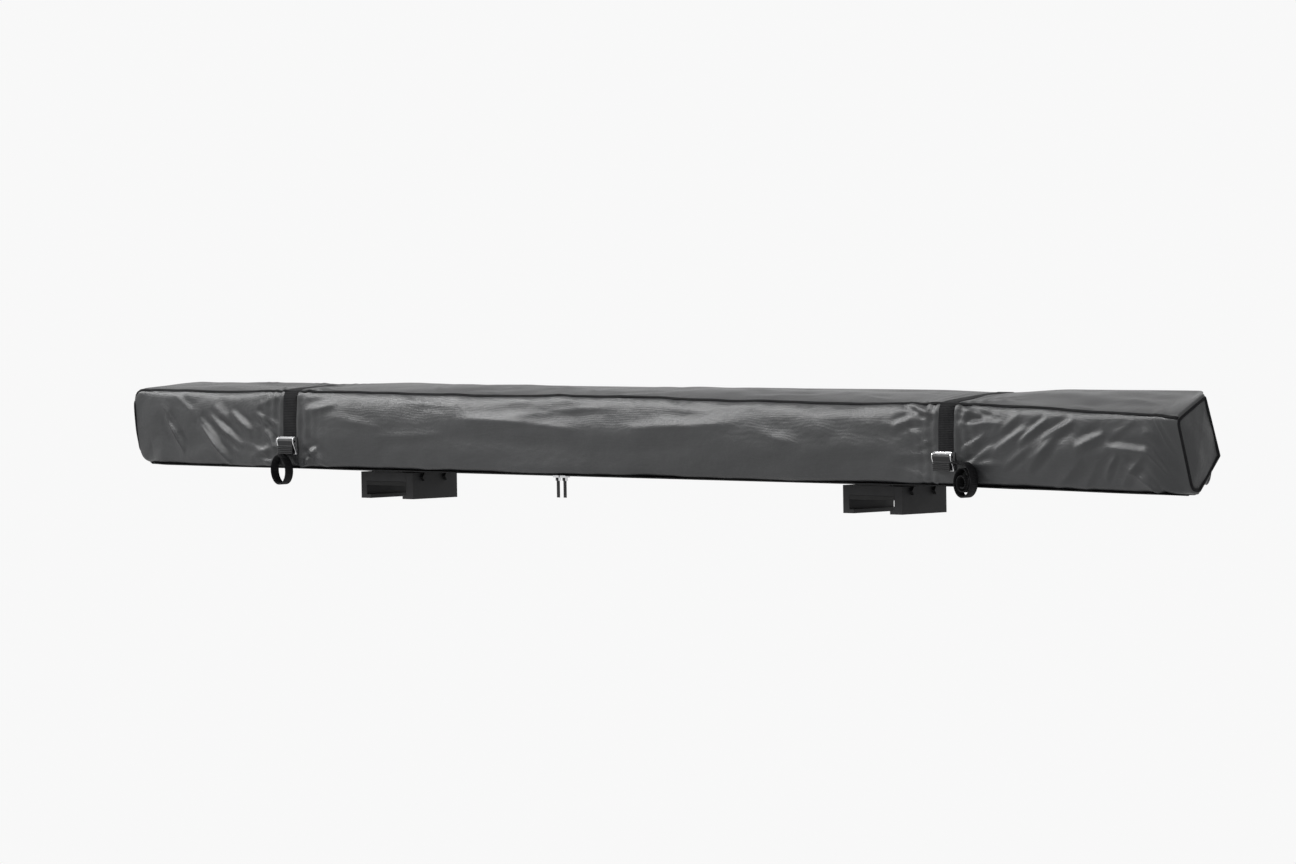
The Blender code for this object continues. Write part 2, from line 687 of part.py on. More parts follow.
def build_lead(lead):
    half = BEAM_LENGTH / 2
    beam = make_piece("lead_beam", prism(beam_section(), "X", -half, half), "aluminium", lead)
    holes = bmesh.new()
    depth = BEAM_DEPTH / 2
    for end, sign in ENDS.items():
        start = Vector((sign * LEG_PIVOT_X, BEAM_Y - depth - GAP, LEG_Z))
        add_cylinder(holes, start, (0, 1, 0), BEAM_DEPTH + 2 * GAP, LEG_PIN_RADIUS + PIN_CLEARANCE)
        last = BEAM_DEPTH + 2 * GAP
        head = PIN_HEAD_THICKNESS
        profile = [(-head, 0), (-head, PIN_HEAD_RADIUS), (0, PIN_HEAD_RADIUS), (0, LEG_PIN_RADIUS)]
        profile += [(last, LEG_PIN_RADIUS), (last, PIN_HEAD_RADIUS)]
        profile += [(last + head, PIN_HEAD_RADIUS), (last + head, 0)]
        pin = bmesh.new()
        add_turned(pin, profile, start, (0, 1, 0))
        make_piece("leg_pin_" + end, pin, "bright_steel", lead, smooth=True)
        inside = sign * (half + GAP)
        outside = sign * (half + GAP + BEAM_CAP)
        low = (min(inside, outside), BEAM_Y - depth, BEAM_BOTTOM)
        high = (max(inside, outside), BEAM_Y + depth, BEAM_TOP)
        make_piece("beam_cap_" + end, box(low, high), "black_plastic", lead, bevel=BEAM_CAP_EDGE)
    combine(beam, holes, "DIFFERENCE")


def build_roll(lead):
    """The canopy, rolled up round the lead beam, as one thick sleeve."""
    centre = (BEAM_Y, (BEAM_TOP + BEAM_BOTTOM) / 2)
    outer = rounded(centre, ROLL_DEPTH, ROLL_HEIGHT, ROLL_SQUARENESS, ROLL_SIDES)
    inner = squared(centre, BEAM_DEPTH + 2 * GAP, BEAM_HEIGHT + 2 * GAP, ROLL_SIDES)
    roll = bmesh.new()
    add_ring_prism(roll, outer, inner, "X", -ROLL_WIDTH_X / 2, ROLL_WIDTH_X / 2)
    make_piece("canopy_roll", roll, "canopy_fabric", lead, smooth=True)


def build_leg(lead, end):
    sign = ENDS[end]
    side = sign * LEG_OFFSET
    pivot = Vector((sign * LEG_PIVOT_X, BEAM_Y + side, LEG_Z))
    inward = Vector((-sign, 0, 0))
    swing = make_frame("frame_leg_" + end, pivot, lead)
    slide = make_frame("frame_leg_inner_" + end, pivot, swing)
    outer_length = LEG_STOWED - FOOT_LENGTH - LEG_TUBE_SHORT
    sizes = {"length": outer_length, "radius": LEG_RADIUS, "wall": LEG_WALL}
    sizes["knuckle"] = LEG_KNUCKLE_RADIUS
    sizes["pin"] = LEG_PIN_RADIUS
    build_tube_arm("leg_tube_" + end, pivot, inward, (0, 1, 0), sizes, swing)
    radius = LEG_RADIUS - LEG_WALL - TUBE_CLEARANCE
    inner_end = LEG_STOWED - FOOT_LENGTH + FOOT_CUP - GAP
    start = pivot + inward * INNER_START
    tube_piece("leg_inner_" + end, start, inward, inner_end - INNER_START, radius, LEG_INNER_WALL, slide)
    foot = bmesh.new()
    start = pivot + inward * (LEG_STOWED - FOOT_LENGTH)
    add_cup(foot, start, inward, FOOT_LENGTH, FOOT_CUP, LEG_RADIUS, radius + GAP, CUP_NOSE)
    make_piece("leg_foot_" + end, foot, "rubber", slide, smooth=True)
    collar = bmesh.new()
    twist = make_frame("frame_leg_collar_" + end, pivot, swing)
    wide = LEG_RADIUS + GAP
    narrow = radius + GAP
    seat = COLLAR_LENGTH - COLLAR_NECK
    profile = [(0, wide), (0, COLLAR_RADIUS), (COLLAR_LENGTH, COLLAR_RADIUS), (COLLAR_LENGTH, narrow)]
    profile += [(seat + GAP, narrow), (seat + GAP, wide)]
    start = pivot + inward * (outer_length - seat)
    add_turned(collar, profile, start, inward, closed=True)
    make_piece("leg_collar_" + end, collar, "black_plastic", twist, smooth=True)


def build_cover(base):
    """The flap of the cover: a top panel hinged on the rail and a front panel hinged on that."""
    half = BAG_LENGTH / 2
    hinge = Vector((0, -KEDER_FROM_BACK, TOP - FABRIC / 2))
    corner = Vector((0, FRONT + FABRIC / 2, TOP - FABRIC / 2))
    top_frame = make_frame("frame_cover_top", hinge, base)
    front_frame = make_frame("frame_cover_front", corner, top_frame)
    make_piece("cover_top", box((-half, FRONT, TOP - FABRIC), (half, 0, TOP)), "cover_fabric", top_frame)
    low = (-half, FRONT, BOTTOM)
    high = (half, FRONT + FABRIC, TOP - FABRIC - GAP)
    make_piece("cover_front", box(low, high), "cover_fabric", front_frame)
    inner = half - FABRIC
    edge = SLIDER_Y - GAP / 2
    tape = box((-inner, edge - ZIP_TAPE_WIDTH, TAPE_LOW), (inner, edge, BOTTOM - GAP))
    make_piece("zip_tape_upper", tape, "zip_tape", front_frame)
    return top_frame, front_frame


def build_strap(base, top_frame, front_frame, end):
    """A strap in three runs; once undone, its lower run hangs from the rail with the buckle and tail."""
    x = STRAP_X[end]
    low_x = x - STRAP_WIDTH / 2
    high_x = x + STRAP_WIDTH / 2
    face = FRONT - GAP
    outer = face - STRAP_THICKNESS
    middle = face - STRAP_THICKNESS / 2
    back = GAP + STRAP_THICKNESS / 2
    under = STRAP_LOW + STRAP_THICKNESS / 2
    path = [(back, TOP - FABRIC), (back, under), (middle, under), (middle, STRAP_JOIN_Z - GAP)]
    lower = prism(band(path, STRAP_THICKNESS), "X", low_x, high_x)
    make_piece("strap_lower_" + end, lower, "webbing", base)
    free_end = make_frame("frame_strap_" + end, Vector((x, 0.0, under)), base)
    top = box((low_x, outer, TOP + GAP), (high_x, 0, TOP + GAP + STRAP_THICKNESS))
    make_piece("strap_top_" + end, top, "webbing", top_frame)
    front = box((low_x, outer, STRAP_JOIN_Z), (high_x, face, TOP))
    make_piece("strap_face_" + end, front, "webbing", front_frame)
    build_buckle(free_end, end, x, outer - GAP)
    width, height = TAIL_SIZE[end]
    centre = (x + TAIL_OFFSET_X[end], TAIL_TOP_Z[end] - height / 2)
    loop = bmesh.new()
    outline = rounded(centre, width, height, TAIL_SQUARENESS, TAIL_SIDES)
    room = 2 * TAIL_THICKNESS
    hollow = rounded(centre, width - room, height - room, TAIL_SQUARENESS, TAIL_SIDES)
    seat = {"rear": outer - GAP, "front": face}[end]
    add_ring_prism(loop, outline, hollow, "Y", seat - TAIL_WIDTH, seat)
    make_piece("strap_tail_" + end, loop, "webbing", free_end, smooth=True)


def build_buckle(free_end, end, x, back):
    """A cam buckle: a plate with two ears and a lever that clamps the webbing."""
    half = BUCKLE_WIDTH / 2
    plate = back - BUCKLE_PLATE
    reach = back - BUCKLE_EAR
    ear = half - BUCKLE_PLATE
    section = [(x - half, back), (x + half, back), (x + half, reach), (x + ear, reach), (x + ear, plate)]
    section += [(x - ear, plate), (x - ear, reach), (x - half, reach)]
    shape = prism(section, "Z", BUCKLE_BOTTOM, BUCKLE_TOP)
    buckle = make_piece("buckle_" + end, shape, "bright_steel", free_end)
    pivot = Vector((x, plate - GAP - LEVER_HUB_RADIUS - LEVER_CLEARANCE, BUCKLE_TOP - LEVER_PIVOT_DROP))
    start = pivot - Vector((half + GAP, 0, 0))
    hole = cylinder(start, (1, 0, 0), BUCKLE_WIDTH + 2 * GAP, LEVER_PIN_RADIUS + PIN_CLEARANCE)
    combine(buckle, hole, "DIFFERENCE")
    swing = make_frame("frame_lever_" + end, pivot, free_end)
    reach_x = ear - GAP
    outside = pivot.y - LEVER_HUB_RADIUS
    section = []
    hub = LEVER_HUB_RADIUS
    for k in range(LEVER_ARC_STEPS + 1):
        angle = math.pi * k / LEVER_ARC_STEPS
        section.append((pivot.y + hub * math.cos(angle), pivot.z + hub * math.sin(angle)))
    section += [(outside, pivot.z - LEVER_LENGTH), (outside + LEVER_THICKNESS, pivot.z - LEVER_LENGTH)]
    section += [(outside + LEVER_THICKNESS, pivot.z - hub), (pivot.y, pivot.z - hub)]
    shape = prism(section, "X", x - reach_x, x + reach_x)
    lever = make_piece("buckle_lever_" + end, shape, "bright_steel", swing)
    start = pivot - Vector((half, 0, 0))
    combine(lever, cylinder(start, (1, 0, 0), BUCKLE_WIDTH, LEVER_PIN_RADIUS, SMALL_SIDES), "UNION")


def build_zip_slider(base, end):
    x = ZIP_X + ENDS[end] * ZIP_SPACING / 2
    centre = Vector((x, SLIDER_Y, SLIDER_TOP - SLIDER_SIZE.z / 2))
    ride = make_frame("frame_zip_" + end, centre, base)
    half = SLIDER_SIZE / 2
    slider = make_piece("zip_slider_" + end, box(centre - half, centre + half), "bright_steel", ride)
    eye = PULL_PIN_RADIUS + PIN_CLEARANCE + PULL_EYE_WALL
    hang = Vector((x, SLIDER_Y, centre.z - half.z - eye - GAP))
    lugs = bmesh.new()
    for side in (-1, 1):
        inside = side * (PULL_WIDTH / 2 + GAP)
        outside = inside + side * LUG_THICKNESS
        low = Vector((x + min(inside, outside), SLIDER_Y - LUG_REACH, hang.z - LUG_REACH))
        high = Vector((x + max(inside, outside), SLIDER_Y + LUG_REACH, centre.z))
        add_box(lugs, low, high)
    combine(slider, lugs, "UNION")
    reach = PULL_WIDTH / 2 + PULL_PIN_OVERHANG
    pin = cylinder(hang - Vector((reach, 0, 0)), (1, 0, 0), 2 * reach, PULL_PIN_RADIUS, SMALL_SIDES)
    combine(slider, pin, "UNION")
    swing = make_frame("frame_pull_" + end, hang, ride)
    width = PULL_WIDTH / 2
    start = hang - Vector((width, 0, 0))
    shape = cylinder(start, (1, 0, 0), PULL_WIDTH, eye, SMALL_SIDES)
    pull = make_piece("zip_pull_" + end, shape, "black_plastic", swing)
    thick = PULL_THICKNESS / 2
    low = hang - Vector((width, thick, PULL_LENGTH))
    high = hang + Vector((width, thick, 0))
    combine(pull, box(low, high), "UNION")
    start = hang - Vector((width + GAP, 0, 0))
    bore = PULL_PIN_RADIUS + PIN_CLEARANCE
    hole = cylinder(start, (1, 0, 0), PULL_WIDTH + 2 * GAP, bore, SMALL_SIDES)
    combine(pull, hole, "DIFFERENCE")


def build_awning():
    base = make_frame("frame_base", (0.0, 0.0, 0.0))
    build_rail(base)
    build_tray(base)
    lead = make_frame("frame_lead", (0.0, BEAM_Y, BEAM_BOTTOM), base)
    build_lead(lead)
    build_roll(lead)
    top_frame, front_frame = build_cover(base)
    for end in ENDS:
        build_bracket(base, end)
        build_clamp(base, end)
        build_jaw(end)
        build_rafter_mount(base, end)
        build_rafter(end)
        build_leg(lead, end)
        build_strap(base, top_frame, front_frame, end)
        build_zip_slider(base, end)


clear_scene()
MATERIALS = add_materials()
build_awning()
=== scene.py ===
"""Looks of the side awning: its cover, straps, zip, canopy and finishes around the fixed frame.

Places below are counted from the middle of the back rail's rear face: X along the awning, -Y away
from the vehicle, Z up. at() turns such a place into one in the frame.
"""

import json
import math
import random

import bmesh
import bpy
import numpy as np
from mathutils import Matrix, Vector, noise


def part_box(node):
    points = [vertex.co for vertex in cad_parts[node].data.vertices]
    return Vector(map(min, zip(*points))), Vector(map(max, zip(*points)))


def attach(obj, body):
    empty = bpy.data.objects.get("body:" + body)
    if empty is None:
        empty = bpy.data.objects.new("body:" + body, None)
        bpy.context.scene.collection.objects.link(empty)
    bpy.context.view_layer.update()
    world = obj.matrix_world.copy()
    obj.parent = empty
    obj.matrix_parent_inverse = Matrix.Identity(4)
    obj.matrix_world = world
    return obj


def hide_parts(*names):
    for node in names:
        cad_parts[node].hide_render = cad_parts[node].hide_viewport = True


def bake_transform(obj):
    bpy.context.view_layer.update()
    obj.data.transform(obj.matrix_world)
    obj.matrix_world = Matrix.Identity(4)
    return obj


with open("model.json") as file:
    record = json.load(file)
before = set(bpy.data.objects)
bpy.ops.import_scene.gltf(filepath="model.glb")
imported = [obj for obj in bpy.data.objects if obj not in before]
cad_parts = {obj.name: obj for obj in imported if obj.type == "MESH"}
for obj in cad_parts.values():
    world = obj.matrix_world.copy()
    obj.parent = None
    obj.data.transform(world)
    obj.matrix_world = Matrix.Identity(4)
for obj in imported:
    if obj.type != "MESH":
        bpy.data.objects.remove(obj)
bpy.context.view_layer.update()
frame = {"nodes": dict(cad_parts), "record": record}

ENDS = {"rear": -1, "front": 1}
SEED = 11

# Camera, as it stands to the awning in the photo, with a longer lens
CAMERA_AZIMUTH = math.radians(46.8)
CAMERA_ELEVATION = math.radians(2.0)
CAMERA_ROLL = math.radians(-0.9)
CAMERA_DISTANCE = 10.1
CAMERA_FIELD = math.radians(9.6)
CLIP_END = 400
STAGE_MIDDLE_Y = -0.055

# Floor and light: each lamp as name, place from the stage's middle, size and power
FLOOR_BELOW = 1.96
FLOOR_REACH = 150
FLOOR_COLOUR = (0.86, 0.86, 0.86)
FLOOR_ROUGHNESS = 0.9
FLOOR_GLOW = 0.75
FLOOR_FADE = (2.0, 9.0)
AMBIENT = 0.36
BACKDROP = (0.94, 0.94, 0.94)
LAMPS = [
    ("key", (-3.55, -2.00, 2.85), (2.4, 0.6), 190),
    ("fill", (4.6, -4.4, 1.2), (2.6, 2.2), 45),
    ("back", (1.0, 4.5, 2.6), (4.0, 1.0), 40),
]

# Soft edges: widths by look, wider ones for the clamps, and the nodes that stay sharp
EDGE_WIDTHS = {
    "black_plastic": 0.0012,
    "black_steel": 0.0007,
    "bright_steel": 0.0003,
    "aluminium": 0.0004,
    "rubber": 0.0010,
}
CLAMP_EDGE = 0.0050
BUCKLE_EDGE = 0.0004
LEVER_EDGE = 0.0002
SHARP_NODES = ("rafter_inner", "leg_inner")

# Cover: where its parts bend or end, then how finely its surface is made
COVER_HALF = 0.993
ZIP_Y = -0.09785
FLOOR_Z = -0.0550
FACE_Y = -0.110
LIP_SINK = 0.0002
RAIL_END = 0.9405
BACK_STRIP_FOOT = (-0.0012, 0.0500)
CLOTH = 0.0008
LAP = 0.0009
ALONG = 720
TOP_ROWS = 24
FACE_ROWS = 40
LIP_ROWS = 5
SMOOTHING = 10
END_CROWDING = 0.75
FADE_ROWS = 4
FADE_END = 0.03
FLOOR_COLUMNS = 160
FLOOR_ROWS = 12
STRIP_COLUMNS = 200
STRIP_ROWS = 4
GUSSET_COLUMNS = 24
GUSSET_ROWS = 16
GUSSET_PUCKER = 0.0010
GUSSET_GRAIN = (60, 22)
END_RINGS = 9
END_LOW_STEPS = 22
END_BACK_STEPS = 26
END_PUFF = 0.005
END_CRUMPLE = 0.0016
END_GRAIN = (50, 40)
PIPING_RADIUS = 0.0024
PIPING_STRIDE = 3
END_PIPING_RADIUS = 0.0019

# Sides of a cord's section, and of a rounder one's
CORD_SIDES = 8
ROUND_SIDES = 14

# Straps: their profile as shares of half the width and of the thickness, their lower run as (y, z)
STRAP_X = {"rear": -0.655, "front": 0.602}
STRAP_WIDTH = 0.028
STRAP_THICKNESS = 0.0016
STRAP_PROFILE = [
    (-1, 0.25),
    (-1, 0.75),
    (-0.94, 1),
    (-0.5, 1.04),
    (0, 1),
    (0.5, 1.04),
    (0.94, 1),
    (1, 0.75),
    (1, 0.25),
    (0.94, 0),
    (-0.94, 0),
]
STRAP_SPLIT_Z = -0.026
STRAP_CLEAR = 0.0003
STRAP_OVER_SEAM = STRAP_CLEAR + PIPING_RADIUS * 0.5
STRAP_UNDER = [
    (-0.1085, -0.0572),
    (-0.0800, -0.0574),
    (-0.0400, -0.0574),
    (-0.0110, -0.0574),
    (-0.0090, -0.0574),
    (-0.0070, -0.0574),
    (-0.0050, -0.0574),
    (-0.0030, -0.0574),
    (-0.0010, -0.0574),
    (0.0005, -0.0572),
    (0.0012, -0.0500),
    (0.0012, 0.0000),
    (0.0012, 0.0545),
]

# Strap tails: a loop that hangs open at its top, and a loose coil led to the buckle
LOOP_STEPS = 40
LOOP_OPENING = 0.30
LOOP_LEAN = 0.0028
LOOP_START = (0.006, 0.0012)
LOOP_FINISH = (-0.004, 0.0016)
COIL_STEPS = 96
COIL_TURNS = 2.6
COIL_START = 1.9
COIL_SHRINK = 0.66
COIL_SAG = 0.0030
COIL_SWAY = 0.002
COIL_DROP = 0.003
COIL_LEAD = (0.03, 0.35, 0.7)
COIL_LEAD_RISE = 0.0012

# Buckle frame: ears as shares of their depth, bars across the top and foot, and a back plate
EAR_THICKNESS = 0.0014
EAR_LAP = 0.9
EAR_STEPS = 8
EAR_ROUND = (0.6, 0.62)
EAR_SHOULDER = (0.95, 0.35)
EAR_WAIST = (0.36, 0.30)
EAR_FOOT = 0.30
BAR_HEIGHT = 0.0040
BAR_DEPTH = 0.0030
PLATE_INSET = 0.001
PLATE_THICKNESS = 0.0012

# Buckle lever: a round hub, a blade of (depth, distance below the hub or above the foot) and ribs
LEVER_HUB = 0.0032
LEVER_HUB_STEPS = 12
LEVER_REACH = 0.0148
LEVER_BACK_DROP = 0.002
LEVER_NECK = (0.0026, 0.004)
LEVER_HEEL = (0.0024, 0.002)
LEVER_TOE = 0.0012
LEVER_PIN_RADIUS = 0.0014
RIB = [(0.0001, 0.0), (0.0001, 0.0011), (0.0008, 0.0014), (0.0008, 0.0020)]
RIB_PITCH = 0.0024
RIBS_FROM = 0.0008
RIBS_BELOW_HUB = 0.006

# Welts: the cord's place in its channel, and the flap that leaves it
WELT_RADIUS = 0.0026
WELT_DEPTH = 0.0054
WELT_STEPS = 60
FLAP_COLUMNS = 240
FLAP_ROOT = 0.0014
FLAP_TURN = (0.0012, 0.0006)
FLAP_BELOW = 0.0003
FLAP_SHARES = (0.25, 0.5, 0.75, 1.0)
FLAP_THICKNESS = 0.0005

# Sections of the cover along X: front top, rear top, rear bottom, front bottom, and how full it is
STATIONS = [
    (-0.993, (-0.107, 0.0470), (-0.045, 0.0480), (-0.020, -0.0300), (-0.096, -0.0545), 0.15),
    (-0.935, (-0.108, 0.0475), (-0.009, 0.0535), (-0.001, -0.0542), (-0.104, -0.0552), 0.45),
    (-0.800, (-0.110, 0.0480), (-0.003, 0.0540), (-0.001, -0.0545), (-0.108, -0.0552), 0.80),
    (-0.655, (-0.109, 0.0490), (-0.002, 0.0530), (-0.001, -0.0545), (-0.110, -0.0548), 0.10),
    (-0.540, (-0.111, 0.0490), (-0.001, 0.0550), (-0.001, -0.0545), (-0.110, -0.0552), 0.95),
    (-0.050, (-0.111, 0.0470), (-0.001, 0.0560), (-0.001, -0.0545), (-0.110, -0.0552), 1.00),
    (0.480, (-0.111, 0.0460), (-0.001, 0.0580), (-0.001, -0.0545), (-0.109, -0.0552), 0.90),
    (0.602, (-0.109, 0.0470), (-0.002, 0.0560), (-0.001, -0.0545), (-0.110, -0.0548), 0.10),
    (0.720, (-0.111, 0.0430), (-0.001, 0.0610), (-0.001, -0.0545), (-0.108, -0.0560), 0.60),
    (0.935, (-0.110, 0.0380), (-0.008, 0.0620), (-0.001, -0.0542), (-0.098, -0.0585), 0.20),
    (0.993, (-0.108, 0.0345), (-0.059, 0.0605), (-0.035, -0.0150), (-0.083, -0.0600), 0.00),
]

# Between the stations: the round of the front top edge, the ends' corners and the top's crown
SHOULDER_DEPTH = 0.017
SHOULDER_SHARE = 0.55
STRAIGHT_BELOW = 0.6
CORNER = {"rear": 0.014, "front": 0.004}
TOP_CROWN = 0.004

# How far along the section the face passes z 0
FACE_START = 0.158

# Broad waves of the cloth, as height, scale along X, scale along the section and place in the noise
WAVES = [
    (0.0034, 2.7, 19.0, 0.3),
    (0.0018, 8.0, 34.0, 4.2),
    (0.0009, 24.0, 48.0, 8.7),
]
CALM_BESIDE_STRAP = 0.022
GATHER_HEIGHT = 0.0024
GATHER_PITCH = 0.0165
GATHER_FADE = 0.020
GATHER_REACH = 0.07
GATHER_SWAY = 0.004
GATHER_SWAY_GRAIN = (26, 2)
GATHER_STRENGTH = 0.6
GATHER_STRENGTH_GRAIN = 30

# A fold across its line, in widths: a sharp ridge, a valley a side as (depth, place), a slight bow
RIDGE_SHARPNESS = 1.6
VALLEYS = [(0.55, 1.6), (0.25, -1.8)]
FOLD_REACH = 4
FOLD_BOW = 0.25
FOLD_TAPER = 0.7

# The main folds that the photo shows, as x, z of both ends, width and height
FOLDS_SEEN = [
    (-0.925, 0.032, -0.885, -0.022, 0.006, 0.0042),
    (-0.855, 0.022, -0.781, -0.040, 0.006, 0.0046),
    (-0.832, 0.030, -0.752, -0.018, 0.005, 0.0040),
    (-0.785, 0.034, -0.735, 0.004, 0.005, 0.0028),
    (-0.716, 0.016, -0.680, -0.024, 0.005, 0.0040),
    (-0.625, 0.030, -0.560, 0.044, 0.006, 0.0030),
    (-0.628, -0.010, -0.575, -0.044, 0.007, 0.0034),
    (-0.300, 0.026, -0.060, 0.016, 0.012, 0.0030),
    (0.020, 0.020, 0.230, 0.030, 0.012, 0.0028),
    (0.505, 0.026, 0.565, 0.046, 0.005, 0.0030),
    (0.618, 0.027, 0.700, 0.036, 0.005, 0.0036),
    (0.680, -0.004, 0.750, 0.034, 0.006, 0.0034),
    (0.727, 0.008, 0.776, 0.044, 0.005, 0.0046),
    (0.768, 0.018, 0.818, 0.042, 0.005, 0.0042),
    (0.822, 0.010, 0.872, 0.032, 0.006, 0.0038),
    (0.868, 0.016, 0.972, 0.010, 0.006, 0.0040),
    (0.900, -0.006, 0.960, -0.042, 0.007, 0.0026),
]

# Smaller folds beside the straps, each value drawn at random between two limits
STRAP_FOLDS = 8
STRAP_FOLD_START = (0.014, 0.024)
STRAP_FOLD_RUN = (0.025, 0.080)
STRAP_FOLD_PLACE = (0.090, 0.215)
STRAP_FOLD_RISE = (-0.015, 0.045)
STRAP_FOLD_WIDTH = (0.003, 0.006)
STRAP_FOLD_HEIGHT = (0.0010, 0.0026)

# Smaller folds of the face: groups as low, high, count and lean
FACE_FOLDS = [(-0.975, -0.70, 10, 1), (0.64, 0.975, 14, -1), (-0.62, 0.57, 16, 0)]
FACE_FOLD_PLACE = (0.095, 0.165)
FACE_FOLD_WIDTH = (0.004, 0.008)
LEANING_FOLD = {"drop": (0.020, 0.050), "run": (0.025, 0.06), "height": (0.0008, 0.0022)}
LEVEL_FOLD = {"drop": (-0.012, 0.020), "run": (0.06, 0.16), "height": (0.0006, 0.0014)}

# Smaller folds of the top: groups as low and high
TOP_FOLDS = [(-0.95, -0.70), (-0.60, 0.55), (0.66, 0.95)]
TOP_FOLDS_PER_METRE = 18
TOP_FOLD_PLACE = (0.02, 0.09)
TOP_FOLD_RUN = (0.03, 0.09)
TOP_FOLD_SLANT = (-0.02, 0.03)
TOP_FOLD_WIDTH = 0.006
TOP_FOLD_HEIGHT = (0.0006, 0.0016)

# Canopy, folded on the lead beam inside the cover
CANOPY_WIDTH = 1.860
CANOPY_COLUMNS = 120
CANOPY_START = (-0.0136, 0.0410)
FOLD_DEPTH = 0.0613
FOLDS = 31
FOLD_FRONT_Y = -0.0985
STACK_TOP = 0.0366
STACK_LOW = 0.0266

# Zip
ZIP_GAP = 0.0010
TAPE_WIDTH = 0.0110
TAPE_THICKNESS = 0.0007
TAPE_HALF = 0.986
TAPE_TAPER = 0.030
TAPE_END_SHARE = 0.15
TAPE_BELOW = 0.0013
TAPE_CLEAR = 0.0004
TAPE_LEAN = 0.9
TAPE_ROWS = 4
TAPE_COLUMNS = 300
TEETH_HALF = 0.980
TOOTH_PITCH = 0.0030
TOOTH_SHARE = 0.42
TOOTH_REACH = 0.0016
TOOTH_LEVELS = (-0.0029, -0.0016)
BOX_FACES = ((0, 3, 2, 1), (4, 5, 6, 7), (0, 1, 5, 4), (1, 2, 6, 5), (2, 3, 7, 6), (3, 0, 4, 7))

rail_low, rail_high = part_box("base_rail")
RAIL_BACK = Vector(((rail_low.x + rail_high.x) / 2, rail_high.y, (rail_low.z + rail_high.z) / 2))


def at(x, y, z):
    """A place counted from the rail, as one in the frame."""
    return RAIL_BACK + Vector((x, y, z))


def rail_box(name):
    """A node's box, counted from the rail."""
    low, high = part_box(name)
    return low - RAIL_BACK, high - RAIL_BACK


def evenly(low, high, count):
    """Even steps from low to high."""
    return [low + (high - low) * i / (count - 1) for i in range(count)]


def new_material(name, colour, roughness, metallic=0.0):
    look = bpy.data.materials.new(name)
    look.use_nodes = True
    shader = look.node_tree.nodes["Principled BSDF"]
    shader.inputs["Base Color"].default_value = (*colour, 1.0)
    shader.inputs["Roughness"].default_value = roughness
    shader.inputs["Metallic"].default_value = metallic
    return look, look.node_tree, shader


def add_node(tree, kind, **values):
    node = tree.nodes.new(kind)
    for name, value in values.items():
        if name in node.inputs:
            node.inputs[name].default_value = value
        else:
            setattr(node, name, value)
    return node


def object_place(tree, scale):
    """The mesh's own coordinates, stretched by scale."""
    place = tree.nodes.new("ShaderNodeTexCoord")
    stretch = tree.nodes.new("ShaderNodeMapping")
    stretch.inputs["Scale"].default_value = scale
    tree.links.new(place.outputs["Object"], stretch.inputs["Vector"])
    return stretch.outputs["Vector"]


def vary(tree, shader, socket, low, high, scale, stretch=(1.0, 1.0, 1.0)):
    """Lets a number wander between low and high over the surface."""
    cloud = add_node(tree, "ShaderNodeTexNoise", Scale=scale, Detail=4.0)
    tree.links.new(object_place(tree, stretch), cloud.inputs["Vector"])
    spread = tree.nodes.new("ShaderNodeMapRange")
    spread.inputs["To Min"].default_value = low
    spread.inputs["To Max"].default_value = high
    tree.links.new(cloud.outputs["Fac"], spread.inputs["Value"])
    tree.links.new(spread.outputs["Result"], shader.inputs[socket])


def tint(tree, shader, dark, light, scale, stretch=(1.0, 1.0, 1.0)):
    """Lets the colour wander between two shades."""
    cloud = add_node(tree, "ShaderNodeTexNoise", Scale=scale, Detail=5.0)
    tree.links.new(object_place(tree, stretch), cloud.inputs["Vector"])
    ramp = tree.nodes.new("ShaderNodeValToRGB")
    ramp.color_ramp.elements[0].position = 0.3
    ramp.color_ramp.elements[0].color = (*dark, 1.0)
    ramp.color_ramp.elements[1].position = 0.7
    ramp.color_ramp.elements[1].color = (*light, 1.0)
    tree.links.new(cloud.outputs["Fac"], ramp.inputs["Fac"])
    tree.links.new(ramp.outputs["Color"], shader.inputs["Base Color"])


def bump(tree, shader, heights):
    """Adds up bumps, each a (height socket, distance) pair."""
    last = None
    for height, distance in heights:
        node = tree.nodes.new("ShaderNodeBump")
        node.inputs["Distance"].default_value = distance
        node.inputs["Strength"].default_value = 1.0
        tree.links.new(height, node.inputs["Height"])
        if last:
            tree.links.new(last, node.inputs["Normal"])
        last = node.outputs["Normal"]
    tree.links.new(last, shader.inputs["Normal"])


def weave(tree, pitch):
    """Crossing threads, as the sum of a wave along each axis."""
    place = object_place(tree, (math.tau / pitch,) * 3)
    parts = tree.nodes.new("ShaderNodeSeparateXYZ")
    tree.links.new(place, parts.inputs["Vector"])
    total = None
    for axis in "XYZ":
        wave = add_node(tree, "ShaderNodeMath", operation="SINE")
        tree.links.new(parts.outputs[axis], wave.inputs[0])
        if total is None:
            total = wave.outputs[0]
            continue
        joined = add_node(tree, "ShaderNodeMath", operation="ADD")
        tree.links.new(total, joined.inputs[0])
        tree.links.new(wave.outputs[0], joined.inputs[1])
        total = joined.outputs[0]
    return total


def cloud_height(tree, scale, stretch=(1.0, 1.0, 1.0)):
    cloud = add_node(tree, "ShaderNodeTexNoise", Scale=scale, Detail=6.0)
    tree.links.new(object_place(tree, stretch), cloud.inputs["Vector"])
    return cloud.outputs["Fac"]


